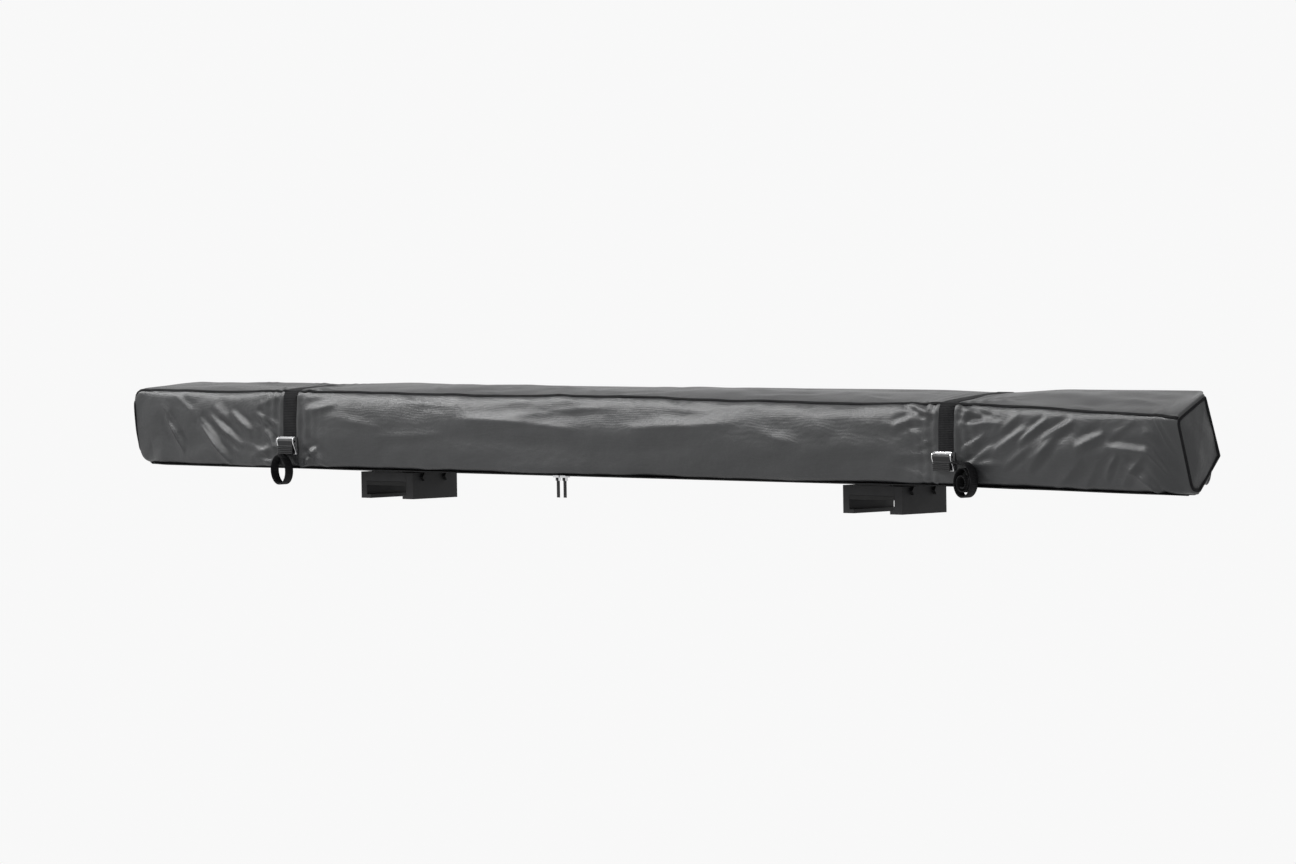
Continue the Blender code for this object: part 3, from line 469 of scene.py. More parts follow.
def cover_material():
    look, tree, shader = new_material("cover_fabric", (0.034, 0.035, 0.037), roughness=0.46)
    tint(tree, shader, (0.017, 0.018, 0.019), (0.030, 0.031, 0.033), scale=7.0, stretch=(0.5, 1.0, 1.6))
    vary(tree, shader, "Roughness", 0.34, 0.42, scale=14.0, stretch=(0.6, 1.0, 1.4))
    shader.inputs["Specular IOR Level"].default_value = 0.5
    clouds = cloud_height(tree, scale=26.0, stretch=(0.6, 1.0, 1.0))
    bump(tree, shader, [(clouds, 0.0022), (weave(tree, 0.0008), 0.000025)])
    return look


def canopy_material():
    look, tree, shader = new_material("canopy_fabric", (0.26, 0.27, 0.29), roughness=0.78)
    tint(tree, shader, (0.23, 0.24, 0.26), (0.29, 0.30, 0.32), scale=5.0)
    bump(tree, shader, [(cloud_height(tree, scale=4.0), 0.004), (weave(tree, 0.0012), 0.00003)])
    return look


def webbing_material():
    look, tree, shader = new_material("webbing", (0.014, 0.014, 0.015), roughness=0.72)
    tint(tree, shader, (0.006, 0.006, 0.007), (0.015, 0.015, 0.016), scale=60.0)
    shader.inputs["Specular IOR Level"].default_value = 0.12
    bump(tree, shader, [(weave(tree, 0.0022), 0.00018)])
    return look


def tape_material():
    look, tree, shader = new_material("zip_tape", (0.014, 0.014, 0.015), roughness=0.70)
    tint(tree, shader, (0.007, 0.007, 0.008), (0.014, 0.014, 0.015), scale=80.0)
    shader.inputs["Specular IOR Level"].default_value = 0.15
    bump(tree, shader, [(weave(tree, 0.0010), 0.00006)])
    return look


def aluminium_material():
    look, tree, shader = new_material("aluminium", (0.62, 0.63, 0.64), roughness=0.34, metallic=1.0)
    vary(tree, shader, "Roughness", 0.26, 0.42, scale=60.0, stretch=(0.05, 1.0, 1.0))
    tint(tree, shader, (0.56, 0.57, 0.58), (0.68, 0.69, 0.70), scale=24.0, stretch=(0.1, 1.0, 1.0))
    bump(tree, shader, [(cloud_height(tree, scale=600.0, stretch=(0.02, 1.0, 1.0)), 0.00003)])
    return look


def black_steel_material():
    look, tree, shader = new_material("black_steel", (0.020, 0.020, 0.021), roughness=0.42)
    vary(tree, shader, "Roughness", 0.34, 0.52, scale=90.0)
    bump(tree, shader, [(cloud_height(tree, scale=900.0), 0.00006)])
    return look


def bright_steel_material():
    look, tree, shader = new_material("bright_steel", (0.72, 0.72, 0.73), roughness=0.24, metallic=1.0)
    vary(tree, shader, "Roughness", 0.16, 0.34, scale=120.0)
    tint(tree, shader, (0.62, 0.62, 0.63), (0.78, 0.78, 0.79), scale=70.0)
    return look


def black_plastic_material():
    look, tree, shader = new_material("black_plastic", (0.012, 0.012, 0.013), roughness=0.52)
    vary(tree, shader, "Roughness", 0.44, 0.62, scale=70.0)
    shader.inputs["Specular IOR Level"].default_value = 0.28
    bump(tree, shader, [(cloud_height(tree, scale=1400.0), 0.00007)])
    return look


def rubber_material():
    look, tree, shader = new_material("rubber", (0.014, 0.014, 0.014), roughness=0.84)
    vary(tree, shader, "Roughness", 0.74, 0.92, scale=50.0)
    bump(tree, shader, [(cloud_height(tree, scale=700.0), 0.00008)])
    return look


LOOKS = {
    "cover_fabric": cover_material(),
    "canopy_fabric": canopy_material(),
    "webbing": webbing_material(),
    "zip_tape": tape_material(),
    "aluminium": aluminium_material(),
    "black_steel": black_steel_material(),
    "bright_steel": bright_steel_material(),
    "black_plastic": black_plastic_material(),
    "rubber": rubber_material(),
}


def add_piece(name, mesh, look):
    piece = bpy.data.objects.new(name, mesh)
    bpy.context.collection.objects.link(piece)
    mesh.materials.append(LOOKS[look])
    return piece


def new_piece(name, points, faces, look, smooth=True):
    """A mesh from places counted from the rail."""
    mesh = bpy.data.meshes.new(name)
    mesh.from_pydata([at(*p) for p in points], [], faces)
    mesh.update()
    piece = add_piece(name, mesh, look)
    if smooth:
        mesh.shade_smooth()
    return piece


def grid_faces(rows, columns):
    """Quads between the points of a grid, which run row by row."""
    faces = []
    for i in range(rows - 1):
        for j in range(columns - 1):
            corner = i * columns + j
            faces.append((corner, corner + 1, corner + columns + 1, corner + columns))
    return faces


def thicken(piece, thickness, offset=-1.0):
    shell = piece.modifiers.new("cloth", "SOLIDIFY")
    shell.thickness = thickness
    shell.offset = offset


def ease(t):
    return t * t * (3 - 2 * t)


def station(x):
    """The cover's four corners and its swell at x."""
    x = min(max(x, STATIONS[0][0]), STATIONS[-1][0])
    for here, there in zip(STATIONS, STATIONS[1:]):
        if x <= there[0]:
            break
    t = ease((x - here[0]) / (there[0] - here[0]))
    corners = []
    for a, b in zip(here[1:5], there[1:5]):
        corners.append((a[0] + (b[0] - a[0]) * t, a[1] + (b[1] - a[1]) * t))
    return corners, here[5] + (there[5] - here[5]) * t


def from_strap(x):
    """Distance to the nearest strap, and the side of it, -1 or 1."""
    near = min(STRAP_X.values(), key=lambda s: abs(x - s))
    return abs(x - near), math.copysign(1, x - near)


def corner_drop(x):
    """How far the cover's upper and lower edges draw in at its rounded ends."""
    radius = CORNER["rear" if x < 0 else "front"]
    inside = min(COVER_HALF - abs(x), radius)
    return radius - math.sqrt(max(radius**2 - (radius - inside) ** 2, 0.0))


def section(x):
    """The cover's outline at x, from the rail over the top, down the face and under to the zip."""
    (front_top, rear_top, _, front_low), full = station(x)
    drop = corner_drop(x)
    seam = np.array((front_top[0] + SHOULDER_DEPTH * full, front_top[1] - drop))
    rear = np.array((rear_top[0], rear_top[1] - drop))
    low = np.array((front_low[0], front_low[1] + drop))
    zip_point = np.array(zip_line(x))
    points = []
    for k in range(TOP_ROWS):
        t = k / TOP_ROWS
        crown = TOP_CROWN * full * math.sin(math.pi * t)
        points.append(rear + (seam - rear) * t + np.array((0, crown)))
    for k in range(FACE_ROWS):
        t = k / FACE_ROWS
        turn = min(t / SHOULDER_SHARE, 1.0)
        bulge = math.sqrt(1 - (1 - turn) ** 2)
        settle = ease(max(t - SHOULDER_SHARE, 0) / (1 - SHOULDER_SHARE))
        front = seam[0] - SHOULDER_DEPTH * full * bulge
        straight = max(1 - full / STRAIGHT_BELOW, 0.0)
        lean = t * straight + settle * (1 - straight)
        y = front + (low[0] - front_top[0]) * lean
        points.append(np.array((y, seam[1] + (low[1] - seam[1]) * t)))
    for k in range(LIP_ROWS):
        points.append(low + (zip_point - low) * k / LIP_ROWS)
    points.append(zip_point)
    line = np.array(points)
    for _ in range(SMOOTHING):
        line[1:-1] += 0.5 * ((line[:-2] + line[2:]) / 2 - line[1:-1])
    return line


def make_creases():
    """Sharp folds as (start, end, width, height), each end a place along X and along the section."""
    dice = random.Random(SEED)
    creases = []
    for x0, z0, x1, z1, width, size in FOLDS_SEEN:
        creases.append(((x0, FACE_START - z0), (x1, FACE_START - z1), width, size))
    for strap in STRAP_X.values():
        for side in (-1, 1):
            for k in range(STRAP_FOLDS):
                near = strap + side * dice.uniform(*STRAP_FOLD_START)
                far = near + side * dice.uniform(*STRAP_FOLD_RUN)
                low = dice.uniform(*STRAP_FOLD_PLACE)
                rise = dice.uniform(*STRAP_FOLD_RISE)
                width = dice.uniform(*STRAP_FOLD_WIDTH)
                size = dice.uniform(*STRAP_FOLD_HEIGHT)
                creases.append(((near, low), (far, low - rise), width, size))
    for low, high, count, lean in FACE_FOLDS:
        kind = LEANING_FOLD if lean else LEVEL_FOLD
        for k in range(count):
            x = low + (high - low) * (k + dice.random()) / count
            top = dice.uniform(*FACE_FOLD_PLACE)
            drop = dice.uniform(*kind["drop"])
            run = (lean or 1) * dice.uniform(*kind["run"])
            size = dice.uniform(*kind["height"])
            width = dice.uniform(*FACE_FOLD_WIDTH)
            creases.append(((x, top), (x + run, top + drop), width, size))
    for low, high in TOP_FOLDS:
        for k in range(int((high - low) * TOP_FOLDS_PER_METRE)):
            x = dice.uniform(low, high)
            across = dice.uniform(*TOP_FOLD_PLACE)
            run = dice.uniform(*TOP_FOLD_RUN)
            slant = dice.uniform(*TOP_FOLD_SLANT)
            size = dice.uniform(*TOP_FOLD_HEIGHT)
            creases.append(((x, across), (x + run, across + slant), TOP_FOLD_WIDTH, size))
    return creases


CREASES = make_creases()


def gather(x, along):
    """The small upright folds that the straps draw up beside them."""
    distance, side = from_strap(x)
    off = distance - STRAP_WIDTH / 2
    if off < 0 or off > GATHER_REACH:
        return 0.0
    grain_along, grain_x = GATHER_SWAY_GRAIN
    sway = GATHER_SWAY * noise.noise(Vector((along * grain_along, side, x * grain_x)))
    change = noise.noise(Vector((along * GATHER_STRENGTH_GRAIN, 5, side)))
    strength = GATHER_STRENGTH + GATHER_STRENGTH * change
    wave = math.sin((off + sway) * math.tau / GATHER_PITCH)
    return GATHER_HEIGHT * wave * math.exp(-off / GATHER_FADE) * strength


def wrinkle(x, along):
    """How far the cloth stands out at x and at a distance along the section from the rail."""
    distance, _ = from_strap(x)
    calm = 1 - math.exp(-((distance / CALM_BESIDE_STRAP) ** 4))
    height = 0.0
    for size, scale_x, scale_along, place in WAVES:
        height += size * noise.noise(Vector((x * scale_x, along * scale_along, place)))
    for (x0, a0), (x1, a1), width, size in CREASES:
        if x < min(x0, x1) - FOLD_REACH * width or x > max(x0, x1) + FOLD_REACH * width:
            continue
        dx, da = x1 - x0, a1 - a0
        length = math.hypot(dx, da)
        t = ((x - x0) * dx + (along - a0) * da) / length**2
        if not 0 < t < 1:
            continue
        beside = ((x - x0) * da - (along - a0) * dx) / length
        bow = FOLD_BOW * width * math.sin(math.pi * t) * math.sin(7 * x0)
        ridge = math.exp(-RIDGE_SHARPNESS * (abs(beside + bow) / width))
        for depth, place in VALLEYS:
            ridge -= depth * math.exp(-((beside / width - place) ** 2))
        height += size * math.sin(math.pi * t) ** FOLD_TAPER * ridge
    return height * calm + gather(x, along)


def build_cover():
    """The top and face panels from one wrinkled surface, parted along the front top edge."""
    xs = np.linspace(-1, 1, ALONG)
    xs = COVER_HALF * (xs + END_CROWDING * np.sin(math.pi * xs) / math.pi)
    lines = np.array([section(x) for x in xs])
    steps = np.linalg.norm(np.diff(lines, axis=1), axis=2)
    along = np.concatenate([np.zeros((ALONG, 1)), np.cumsum(steps, axis=1)], axis=1)
    slope = np.gradient(lines, axis=1)
    out = np.stack([slope[:, :, 1], -slope[:, :, 0]], axis=2)
    out /= np.linalg.norm(out, axis=2, keepdims=True) + 1e-9
    rows = lines.shape[1]
    surface = np.zeros((rows, ALONG, 3))
    for i, x in enumerate(xs):
        for j in range(rows):
            fade = min(1.0, j / FADE_ROWS, (rows - 1 - j) / FADE_ROWS)
            fade *= min(1.0, (COVER_HALF - abs(x)) / FADE_END)
            place = lines[i, j] + out[i, j] * wrinkle(x, along[i, j]) * fade
            surface[j, i] = (x, place[0], place[1])
    split = TOP_ROWS
    top_points = surface[: split + 1].reshape(-1, 3)
    top = new_piece("cover_top_panel", top_points, grid_faces(split + 1, ALONG), "cover_fabric")
    thicken(top, CLOTH)
    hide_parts("cover_top")
    bend_top(top)
    lapped = surface[split - 1 :].copy()
    lapped[0, :, 1:] -= out[:, split - 1] * LAP
    lapped[1, :, 1:] -= out[:, split] * LAP / 2
    face_points = lapped.reshape(-1, 3)
    face = new_piece("cover_face_panel", face_points, grid_faces(rows - split + 1, ALONG), "cover_fabric")
    thicken(face, CLOTH)
    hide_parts("cover_front")
    bend_face(face)
    cord = tube("cover_piping_top", surface[split][::PIPING_STRIDE], PIPING_RADIUS)
    bend_face(cord)
    return xs, surface


def bend_top(piece):
    """Bakes a piece of the cover's top into its mesh where it stands."""
    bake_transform(piece)


def bend_face(piece):
    """Bakes a piece of the cover's face into its mesh where it stands."""
    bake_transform(piece)


def build_tray():
    """The cover's floor, its pinched end panels and the gussets behind them, which stay on the rail."""
    points = []
    for share in evenly(0, 1, FLOOR_ROWS):
        for x in evenly(-COVER_HALF, COVER_HALF, FLOOR_COLUMNS):
            points.append((x, *floor_place(x, share)))
    floor = new_piece("cover_floor_panel", points, grid_faces(FLOOR_ROWS, FLOOR_COLUMNS), "cover_fabric")
    thicken(floor, CLOTH, 1.0)
    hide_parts("bag_tray")
    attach(floor, "base")
    for end, sign in ENDS.items():
        build_end(end, sign)
        build_gusset(end, sign)
    build_back_strip()


def build_back_strip():
    """The cover's narrow back, from the rail's upper edge to the cover's rear top edge."""
    foot_y, foot_z = BACK_STRIP_FOOT
    points = []
    for share in evenly(0, 1, STRIP_ROWS):
        for x in evenly(-RAIL_END, RAIL_END, STRIP_COLUMNS):
            (_, (top_y, top_z), _, _), _ = station(x)
            points.append((x, foot_y + (top_y - foot_y) * share, foot_z + (top_z - foot_z) * share))
    strip = new_piece("cover_back_strip", points, grid_faces(STRIP_ROWS, STRIP_COLUMNS), "cover_fabric")
    thicken(strip, CLOTH, 0.0)
    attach(strip, "base")


def floor_place(x, share):
    """A place of the floor at x, from the zip at share 0 to the rail at share 1, as (y, z)."""
    (_, _, rear_low, _), _ = station(x)
    y, z = zip_line(x)
    y += ZIP_GAP
    return y + (rear_low[0] - y) * share, z + (rear_low[1] - z) * share


def build_gusset(end, sign):
    """Closes the cover behind, from the rail's end to the pinched end panel."""
    grain_x, grain_z = GUSSET_GRAIN
    points = []
    for t in evenly(0, 1, GUSSET_ROWS):
        for share in evenly(0, 1, GUSSET_COLUMNS):
            x = sign * (RAIL_END + (COVER_HALF - RAIL_END) * share)
            (_, rear_top, rear_low, _), _ = station(x)
            top_z = rear_top[1] - corner_drop(x)
            y = rear_top[0] + (rear_low[0] - rear_top[0]) * t
            z = top_z + (rear_low[1] - top_z) * t
            swing = math.sin(math.pi * t) * math.sin(math.pi * share)
            pucker = GUSSET_PUCKER * noise.noise(Vector((x * grain_x, z * grain_z, 2.0))) * swing
            points.append((x, y + pucker, z))
    faces = grid_faces(GUSSET_ROWS, GUSSET_COLUMNS)
    if sign < 0:
        faces = [f[::-1] for f in faces]
    gusset = new_piece("cover_gusset_" + end, points, faces, "cover_fabric")
    thicken(gusset, CLOTH, 1.0)
    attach(gusset, "base")


def end_loop(sign):
    """The outline of an end: the section there, closed along the floor's end and up the back."""
    (_, _, rear_low, _), _ = station(sign * COVER_HALF)
    line = [tuple(p) for p in section(sign * COVER_HALF)]
    for start, finish, count in ((line[-1], rear_low, END_LOW_STEPS), (rear_low, line[0], END_BACK_STEPS)):
        for k in range(1, count):
            t = k / count
            line.append((start[0] + (finish[0] - start[0]) * t, start[1] + (finish[1] - start[1]) * t))
        if finish is rear_low:
            line.append(rear_low)
    return line


def build_end(end, sign):
    """A slightly puffed panel of rings, with piping round it."""
    loop = end_loop(sign)
    middle = np.mean(np.array(loop), axis=0)
    grain_y, grain_z = END_GRAIN
    points = []
    for ring in range(END_RINGS):
        share = 1 - ring / END_RINGS
        for y, z in loop:
            spot = middle + (np.array((y, z)) - middle) * share
            crumple = END_CRUMPLE * noise.noise(Vector((spot[0] * grain_y, spot[1] * grain_z, sign)))
            puff = END_PUFF * (1 - share**2) + crumple if ring else 0.0
            points.append((sign * (COVER_HALF + puff), spot[0], spot[1]))
    points.append((sign * (COVER_HALF + END_PUFF), middle[0], middle[1]))
    count = len(loop)
    faces = []
    for ring in range(END_RINGS - 1):
        inner = (ring + 1) * count
        for k in range(count):
            m = (k + 1) % count
            faces.append((ring * count + k, ring * count + m, inner + m, inner + k))
    inner = (END_RINGS - 1) * count
    for k in range(count):
        faces.append((inner + k, inner + (k + 1) % count, END_RINGS * count))
    if sign < 0:
        faces = [f[::-1] for f in faces]
    panel = new_piece("cover_end_panel_" + end, points, faces, "cover_fabric")
    thicken(panel, CLOTH)
    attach(panel, "base")
    rim = [(sign * COVER_HALF, y, z) for y, z in loop]
    cord = tube("cover_piping_" + end, rim, END_PIPING_RADIUS, closed=True)
    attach(cord, "base")


def tube(name, path, radius, look="webbing", closed=False, sides=CORD_SIDES):
    """A round cord along a path."""
    line = [Vector(p) for p in path]
    count = len(line)
    points = []
    for i, here in enumerate(line):
        before = line[i - 1] if closed or i else here
        after = line[(i + 1) % count] if closed or i + 1 < count else here
        ahead = (after - before).normalized()
        side = ahead.cross(Vector((1, 0, 0)) if abs(ahead.x) < 0.9 else Vector((0, 0, 1))).normalized()
        up = ahead.cross(side)
        for k in range(sides):
            angle = math.tau * k / sides
            points.append(here + radius * (side * math.cos(angle) + up * math.sin(angle)))
    faces = []
    for i in range(count if closed else count - 1):
        j = (i + 1) % count
        for k in range(sides):
            m = (k + 1) % sides
            faces.append((i * sides + k, j * sides + k, j * sides + m, i * sides + m))
    if not closed:
        faces.append(tuple(range(sides)))
        faces.append(tuple((count - 1) * sides + k for k in range(sides))[::-1])
    return tidy_normals(new_piece(name, points, faces, look))


def ribbon(name, path, across, width):
    """A strap with soft edges along a path, as wide as width along the direction across."""
    line = [Vector(p) for p in path]
    across = Vector(across)
    points = []
    for i, here in enumerate(line):
        ahead = (line[min(i + 1, len(line) - 1)] - line[max(i - 1, 0)]).normalized()
        out = across.cross(ahead).normalized()
        for u, v in STRAP_PROFILE:
            points.append(here + across * (u * width / 2) + out * (v * STRAP_THICKNESS))
    size = len(STRAP_PROFILE)
    faces = []
    for i in range(len(line) - 1):
        for k in range(size):
            m = (k + 1) % size
            faces.append((i * size + k, i * size + m, (i + 1) * size + m, (i + 1) * size + k))
    faces.append(tuple(range(size))[::-1])
    faces.append(tuple((len(line) - 1) * size + k for k in range(size)))
    return tidy_normals(new_piece(name, points, faces, "webbing"))


def tidy_normals(piece):
    mend = bmesh.new()
    mend.from_mesh(piece.data)
    bmesh.ops.recalc_face_normals(mend, faces=mend.faces)
    mend.to_mesh(piece.data)
    mend.free()
    return piece


def build_straps(xs, surface):
    """Each strap's runs round the cover, parted where the cover bends, with its buckle and tail."""
    for end, x in STRAP_X.items():
        column = int(np.argmin(np.abs(xs - x)))
        line = surface[:, column, 1:]
        top = line[: TOP_ROWS + 1]
        face = line[TOP_ROWS : TOP_ROWS + FACE_ROWS + 1]
        upper = face[face[:, 1] >= STRAP_SPLIT_Z]
        lower = face[face[:, 1] < STRAP_SPLIT_Z]
        run = strap_run("strap_over_top_" + end, offset(top, STRAP_OVER_SEAM), x)
        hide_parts("strap_top_" + end)
        bend_top(run)
        run = strap_run("strap_over_face_" + end, offset(upper, STRAP_OVER_SEAM), x)
        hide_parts("strap_face_" + end)
        bend_face(run)
        run = strap_run("strap_up_front_" + end, offset(lower, STRAP_CLEAR), x)
        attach(run, "strap_" + end)
        run = strap_run("strap_under_" + end, STRAP_UNDER, x)
        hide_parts("strap_lower_" + end)
        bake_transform(run)
        build_buckle(end)
        build_lever(end, x)
    build_rear_loop()
    build_front_coil()


def strap_run(name, line, x):
    return ribbon(name, [(x, y, z) for y, z in line], (1, 0, 0), STRAP_WIDTH)


def tail_shape(end):
    """The middle of a strap tail's solid, the half width and height of a band in it, and its depth."""
    low, high = rail_box("strap_tail_" + end)
    half = (high - low) / 2
    return (low + high) / 2, half.x - STRAP_THICKNESS, half.z - STRAP_THICKNESS, high.y - low.y


def build_rear_loop():
    """The rear strap's tail, turned back on itself as one hanging loop."""
    centre, wide, tall, depth = tail_shape("rear")
    path = []
    for k in range(LOOP_STEPS + 1):
        angle = math.pi / 2 + LOOP_OPENING + (math.tau - 2 * LOOP_OPENING) * k / LOOP_STEPS
        lean = LOOP_LEAN * math.sin(angle * 0.5)
        path.append((centre.x + wide * math.cos(angle), centre.y + lean, centre.z + tall * math.sin(angle)))
    start, finish = path[0], path[-1]
    path.insert(0, (start[0] + LOOP_START[0], centre.y, start[2] + LOOP_START[1]))
    path.append((finish[0] + LOOP_FINISH[0], centre.y, finish[2] + LOOP_FINISH[1]))
    loop = ribbon("strap_loop_rear", path, (0, 1, 0), depth)
    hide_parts("strap_tail_rear")
    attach(loop, "strap_rear")


def build_front_coil():
    """The front strap's longer tail, led from the buckle's side into a loose coil."""
    centre, wide, tall, depth = tail_shape("front")
    path = []
    for k in range(COIL_STEPS + 1):
        t = k / COIL_STEPS
        angle = COIL_START - math.tau * COIL_TURNS * t
        shrink = 1 - COIL_SHRINK * t
        x = centre.x + wide * shrink * math.cos(angle)
        y = centre.y + COIL_SWAY * math.sin(3 * t)
        sag = COIL_SAG * math.sin(angle * 0.7) * t - COIL_DROP * t
        path.append((x, y, centre.z + tall * shrink * math.sin(angle) + sag))
    _, buckle_high = rail_box("buckle_front")
    edge = buckle_high.x
    x, y, z = path[0]
    lead = [(edge + (x - edge) * share, y, z + COIL_LEAD_RISE * (1 - share)) for share in COIL_LEAD]
    coil = ribbon("strap_coil_front", lead + path, (0, 1, 0), depth)
    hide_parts("strap_tail_front")
    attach(coil, "strap_front")


def build_buckle(end):
    """The bright frame of a pressed cam buckle: two ears, bars across its top and foot, a back plate."""
    low, high = rail_box("buckle_" + end)
    shape = bmesh.new()
    add_slab(shape, ear_outline(low, high), low.x, low.x + EAR_THICKNESS)
    add_slab(shape, ear_outline(low, high), high.x - EAR_THICKNESS, high.x)
    left, right = low.x + EAR_THICKNESS * EAR_LAP, high.x - EAR_THICKNESS * EAR_LAP
    back = high.y
    for z0, z1, depth in (
        (high.z - BAR_HEIGHT, high.z, BAR_DEPTH),
        (low.z, low.z + BAR_HEIGHT, BAR_DEPTH),
        (low.z + PLATE_INSET, high.z - PLATE_INSET, PLATE_THICKNESS),
    ):
        add_slab(shape, [(back, z0), (back, z1), (back - depth, z1), (back - depth, z0)], left, right)
    piece = from_bmesh("cam_buckle_" + end, shape, "bright_steel")
    soften(piece, BUCKLE_EDGE)
    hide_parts("buckle_" + end)
    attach(piece, "strap_" + end)


def build_lever(end, x):
    """The dark ribbed lever between a buckle's ears, and the bright pin that it turns on."""
    low, high = rail_box("buckle_lever_" + end)
    hub_y, hub_z = (low.y + high.y) / 2, high.z - LEVER_HUB
    outline = []
    for k in range(LEVER_HUB_STEPS + 1):
        angle = -math.pi / 2 + math.pi * k / LEVER_HUB_STEPS
        outline.append((hub_y + LEVER_HUB * math.sin(angle), hub_z + LEVER_HUB * math.cos(angle)))
    front = hub_y - LEVER_HUB
    outline.append((hub_y + LEVER_HUB, hub_z - LEVER_BACK_DROP))
    outline.append((front + LEVER_NECK[0], hub_z - LEVER_NECK[1]))
    outline.append((front + LEVER_HEEL[0], low.z + LEVER_HEEL[1]))
    outline.append((front + LEVER_TOE, low.z))
    z = low.z + RIBS_FROM
    while z < hub_z - RIBS_BELOW_HUB:
        outline += [(front + depth, z + rise) for depth, rise in RIB]
        z += RIB_PITCH
    shape = bmesh.new()
    add_slab(shape, outline, x - LEVER_REACH, x + LEVER_REACH)
    lever = from_bmesh("cam_lever_" + end, shape, "black_plastic")
    soften(lever, LEVER_EDGE)
    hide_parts("buckle_lever_" + end)
    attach(lever, "lever_" + end)
    line = [(low.x, hub_y, hub_z), (high.x, hub_y, hub_z)]
    pin = tube("cam_pin_" + end, line, LEVER_PIN_RADIUS, "bright_steel", sides=ROUND_SIDES)
    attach(pin, "lever_" + end)


def ear_outline(low, high):
    """A D-shaped ear: full depth at the lever's pin, and drawn in towards the bottom."""
    points = [(high.y, low.z), (high.y, high.z)]
    reach = high.y - low.y
    deep, tall = EAR_ROUND
    middle = high.z - reach * tall
    for k in range(EAR_STEPS + 1):
        angle = math.pi / 2 * k / EAR_STEPS
        y = high.y - reach * (1 - deep + deep * math.sin(angle))
        points.append((y, middle + reach * tall * math.cos(angle)))
    points.append((high.y - reach * EAR_SHOULDER[0], middle - reach * EAR_SHOULDER[1]))
    points.append((high.y - reach * EAR_WAIST[0], low.z + reach * EAR_WAIST[1]))
    points.append((high.y - reach * EAR_FOOT, low.z))
    return points


def add_slab(shape, outline, low_x, high_x):
    """An outline of (y, z) drawn out along X."""
    rims = []
    for level in (low_x, high_x):
        rims.append([shape.verts.new(at(level, y, z)) for y, z in outline])
    shape.faces.new(rims[0])
    shape.faces.new(rims[1][::-1])
    count = len(outline)
    for i in range(count):
        j = (i + 1) % count
        shape.faces.new((rims[0][i], rims[1][i], rims[1][j], rims[0][j]))


def from_bmesh(name, shape, look):
    bmesh.ops.recalc_face_normals(shape, faces=shape.faces)
    mesh = bpy.data.meshes.new(name)
    shape.to_mesh(mesh)
    shape.free()
    return add_piece(name, mesh, look)


def soften(piece, width, segments=2, angle=35):
    """Rounds the edges that turn by more than an angle in degrees."""
    edge = piece.modifiers.new("soft_edge", "BEVEL")
    edge.width = width
    edge.segments = segments
    edge.limit_method = "ANGLE"
    edge.angle_limit = math.radians(angle)


def build_welts():
    """The cords in the rail's channels and the flaps that join them to the cover."""
    for name, up in (("upper", 1), ("lower", -1)):
        low, high = rail_box("keder_welt_" + name)
        edge = high.z if up > 0 else low.z
        y = high.y - WELT_RADIUS
        z = up * (abs(edge) - WELT_DEPTH)
        line = [(x, y, z) for x in evenly(low.x, high.x, WELT_STEPS + 1)]
        cord = tube("welt_cord_" + name, line, WELT_RADIUS, sides=ROUND_SIDES)
        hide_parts("keder_welt_" + name)
        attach(cord, "base")
        under = edge - up * FLAP_BELOW
        rows = [(y, z + up * FLAP_ROOT), (y, edge - up * FLAP_TURN[1]), (y - FLAP_TURN[0], under)]
        rows += [(y + (low.y - y) * share, under) for share in FLAP_SHARES]
        points = []
        for row_y, row_z in rows:
            points += [(x, row_y, row_z) for x in evenly(low.x, high.x, FLAP_COLUMNS)]
        flap = new_piece("welt_flap_" + name, points, grid_faces(len(rows), FLAP_COLUMNS), "webbing")
        thicken(flap, FLAP_THICKNESS, 0.0)
        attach(flap, "base")


def offset(line, distance):
    """A line of (y, z) moved out from the cover."""
    slope = np.gradient(line, axis=0)
    out = np.stack([slope[:, 1], -slope[:, 0]], axis=1)
    out /= np.linalg.norm(out, axis=1, keepdims=True) + 1e-9
    return line + out * distance


def build_canopy():
    """One sheet of true length, fan-folded on the beam."""
    path = [CANOPY_START]
    for k in range(FOLDS + 1):
        z = STACK_TOP + (STACK_LOW - STACK_TOP) * unease(k / FOLDS)
        y = FOLD_FRONT_Y + (FOLD_DEPTH if k % 2 == 0 else 0.0)
        path.append((y, z))
    points = []
    for y, z in path:
        points += [(x, y, z) for x in evenly(-CANOPY_WIDTH / 2, CANOPY_WIDTH / 2, CANOPY_COLUMNS)]
    faces = grid_faces(len(path), CANOPY_COLUMNS)
    sheet = new_piece("canopy_sheet", points, faces, "canopy_fabric", smooth=False)
    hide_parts("canopy_roll")
    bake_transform(sheet)


def build_zip():
    """Both tapes follow the cover's lower edge, with a row of teeth between them."""
    tapes = [("face", "zip_tape_upper", -1, "cover_face"), ("floor", "zip_tape_lower", 1, "base")]
    for name, node, side, body in tapes:
        points = []
        for share in evenly(0, 1, TAPE_ROWS):
            for x in evenly(-TAPE_HALF, TAPE_HALF, TAPE_COLUMNS):
                y, z = tape_place(x, share, side)
                points.append((x, y, z - TAPE_BELOW))
        tape = new_piece("zip_tape_" + name, points, grid_faces(TAPE_ROWS, TAPE_COLUMNS), "zip_tape")
        thicken(tape, TAPE_THICKNESS, 0.0)
        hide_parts(node)
        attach(tape, body)
        teeth = new_piece("zip_teeth_" + name, *tooth_row(side), "black_plastic", smooth=False)
        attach(teeth, body)


